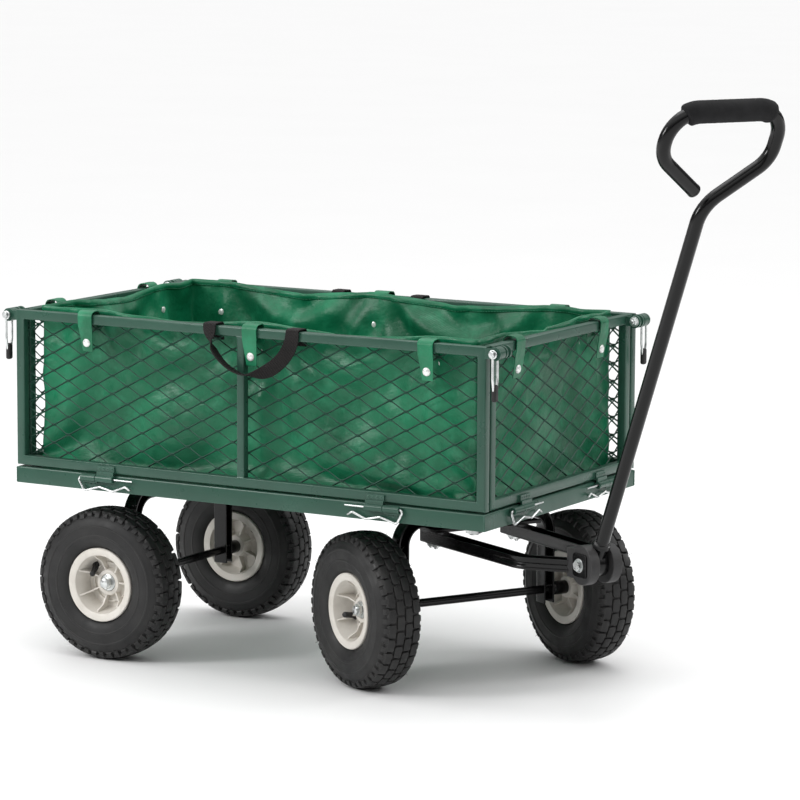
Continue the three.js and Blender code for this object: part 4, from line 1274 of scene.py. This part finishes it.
def rivets(mesh):
    """The backs of the snaps, on the inside of the liner."""
    back = CART.inverted()
    points = [back @ v.co for v in mesh.vertices]
    studs = Shape()
    for side, places in STRAPS.items():
        inward = side_turn(side).to_3x3() @ Vector((0, 1, 0))
        for x in places:
            target = side_turn(side) @ Vector((x, 30, LINER_TOP - 50))
            near = min(points, key=lambda q: (q - target).length)
            studs.spindle(near + inward * 0.5, inward, [(0, 5.6), (1, 5.4), (1.7, 3.6), (1.9, 1.5)], 20)
    piece("liner_rivets", studs, CART, "liner_bag", SNAP)


def liner():
    """The tarpaulin bag: draped from its straps, creased, and trimmed with a hem and rivets."""
    verts, faces, top_rings = liner_mesh()
    mesh = bpy.data.meshes.new("tarpaulin_liner")
    mesh.from_pydata([CART @ slack(v) for v in verts], [], faces)
    obj = bpy.data.objects.new("tarpaulin_liner", mesh)
    bpy.context.scene.collection.objects.link(obj)
    pins = obj.vertex_groups.new(name="pins")
    holds = hem_pins()
    for i, v in enumerate(verts):
        if v.z > LINER_TOP - 1:
            near = min((v - h).length for h in holds)
            corner = Vector((abs(v.x) - LINER_HALF_L, abs(v.y) - LINER_HALF_W)).length
            weight = 1.0 if near < 20 else 0.5 if corner < 16 else 0.22
            pins.add([i], weight, "REPLACE")
    drape(obj)
    mesh = obj.data
    add_folds(mesh)
    rivets(mesh)
    trimmings = hem(mesh, top_rings)
    mesh.materials.append(TARP)
    mesh.shade_smooth()
    cloth_finish(obj, 0.0012)
    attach(obj, "liner_bag")
    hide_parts("liner")


def drape(obj):
    """Lets the liner hang from its straps inside the cage, then keeps the result."""
    scene = bpy.context.scene
    x, y, low, high, wall, frames = 434, 241.5, 324.2, 660, 8, 30
    walls = Shape()
    walls.box((-460, 460), (-280, 280), (low - wall, low))
    for inner, outer in ((-x - wall, -x), (x, x + wall)):
        walls.box((inner, outer), (-280, 280), (low, high))
    for inner, outer in ((-y - wall, -y), (y, y + wall)):
        walls.box((-460, 460), (inner, outer), (low, high))
    data = bpy.data.meshes.new("cage")
    data.from_pydata([CART @ v for v in walls.verts], [], walls.faces)
    cage = bpy.data.objects.new("cage", data)
    scene.collection.objects.link(cage)
    cage.modifiers.new("hit", "COLLISION")
    cage.collision.thickness_outer = 0.0012
    cage.collision.cloth_friction = 8
    hang = obj.modifiers.new("drape", "CLOTH")
    for key, value in (("quality", 5), ("mass", 0.25), ("tension_stiffness", 30),
                       ("compression_stiffness", 30), ("shear_stiffness", 12),
                       ("bending_stiffness", 4), ("air_damping", 2), ("vertex_group_mass", "pins"),
                       ("pin_stiffness", 1.0), ("shrink_min", -0.02)):
        setattr(hang.settings, key, value)
    hang.collision_settings.use_collision = True
    hang.collision_settings.distance_min = 0.0012
    hang.collision_settings.collision_quality = 2
    scene.frame_start = 1
    scene.frame_end = frames
    for step in range(1, frames + 1):
        scene.frame_set(step)
    settled = obj.evaluated_get(bpy.context.evaluated_depsgraph_get())
    obj.data = bpy.data.meshes.new_from_object(settled)
    obj.modifiers.remove(hang)
    bpy.data.objects.remove(cage)
    scene.frame_set(1)


# ------------------------------------------------------------------ the whole cart
def kept_nodes():
    """CAD nodes whose shape is right keep it, with softened edges and a finished surface."""
    for name, material in (("crossbar_rear", GREEN), ("crossbar_front", GREEN), ("kingpin", ZINC)):
        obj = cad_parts[name]
        obj.data.materials.clear()
        obj.data.materials.append(material)
        rounding = obj.modifiers.new("edges", "BEVEL")
        rounding.width = 0.0008
        rounding.segments = 2
        rounding.limit_method = "ANGLE"


camera()
studio()
tray_rim()
tray_floor()
kept_nodes()
arch("rear", REAR_AXLE, "cart", False)
arch("front", FRONT_AXLE, "front_axle", True)
mounting_bolts()
wheels()
drawbars()
yoke()
handle()
grip()
for side_name, (_, _, side_hinges, _) in SIDES.items():
    panel(side_name)
    for number, hinge_x in enumerate(side_hinges, 1):
        hinge_clip(side_name, number, hinge_x)
    for number, strap_x in enumerate(STRAPS[side_name], 1):
        strap(side_name, number, strap_x)
for side_name in ("right", "left"):
    carry_handle(side_name)
    for end_name in ("front", "rear"):
        latch(end_name, side_name)
liner()
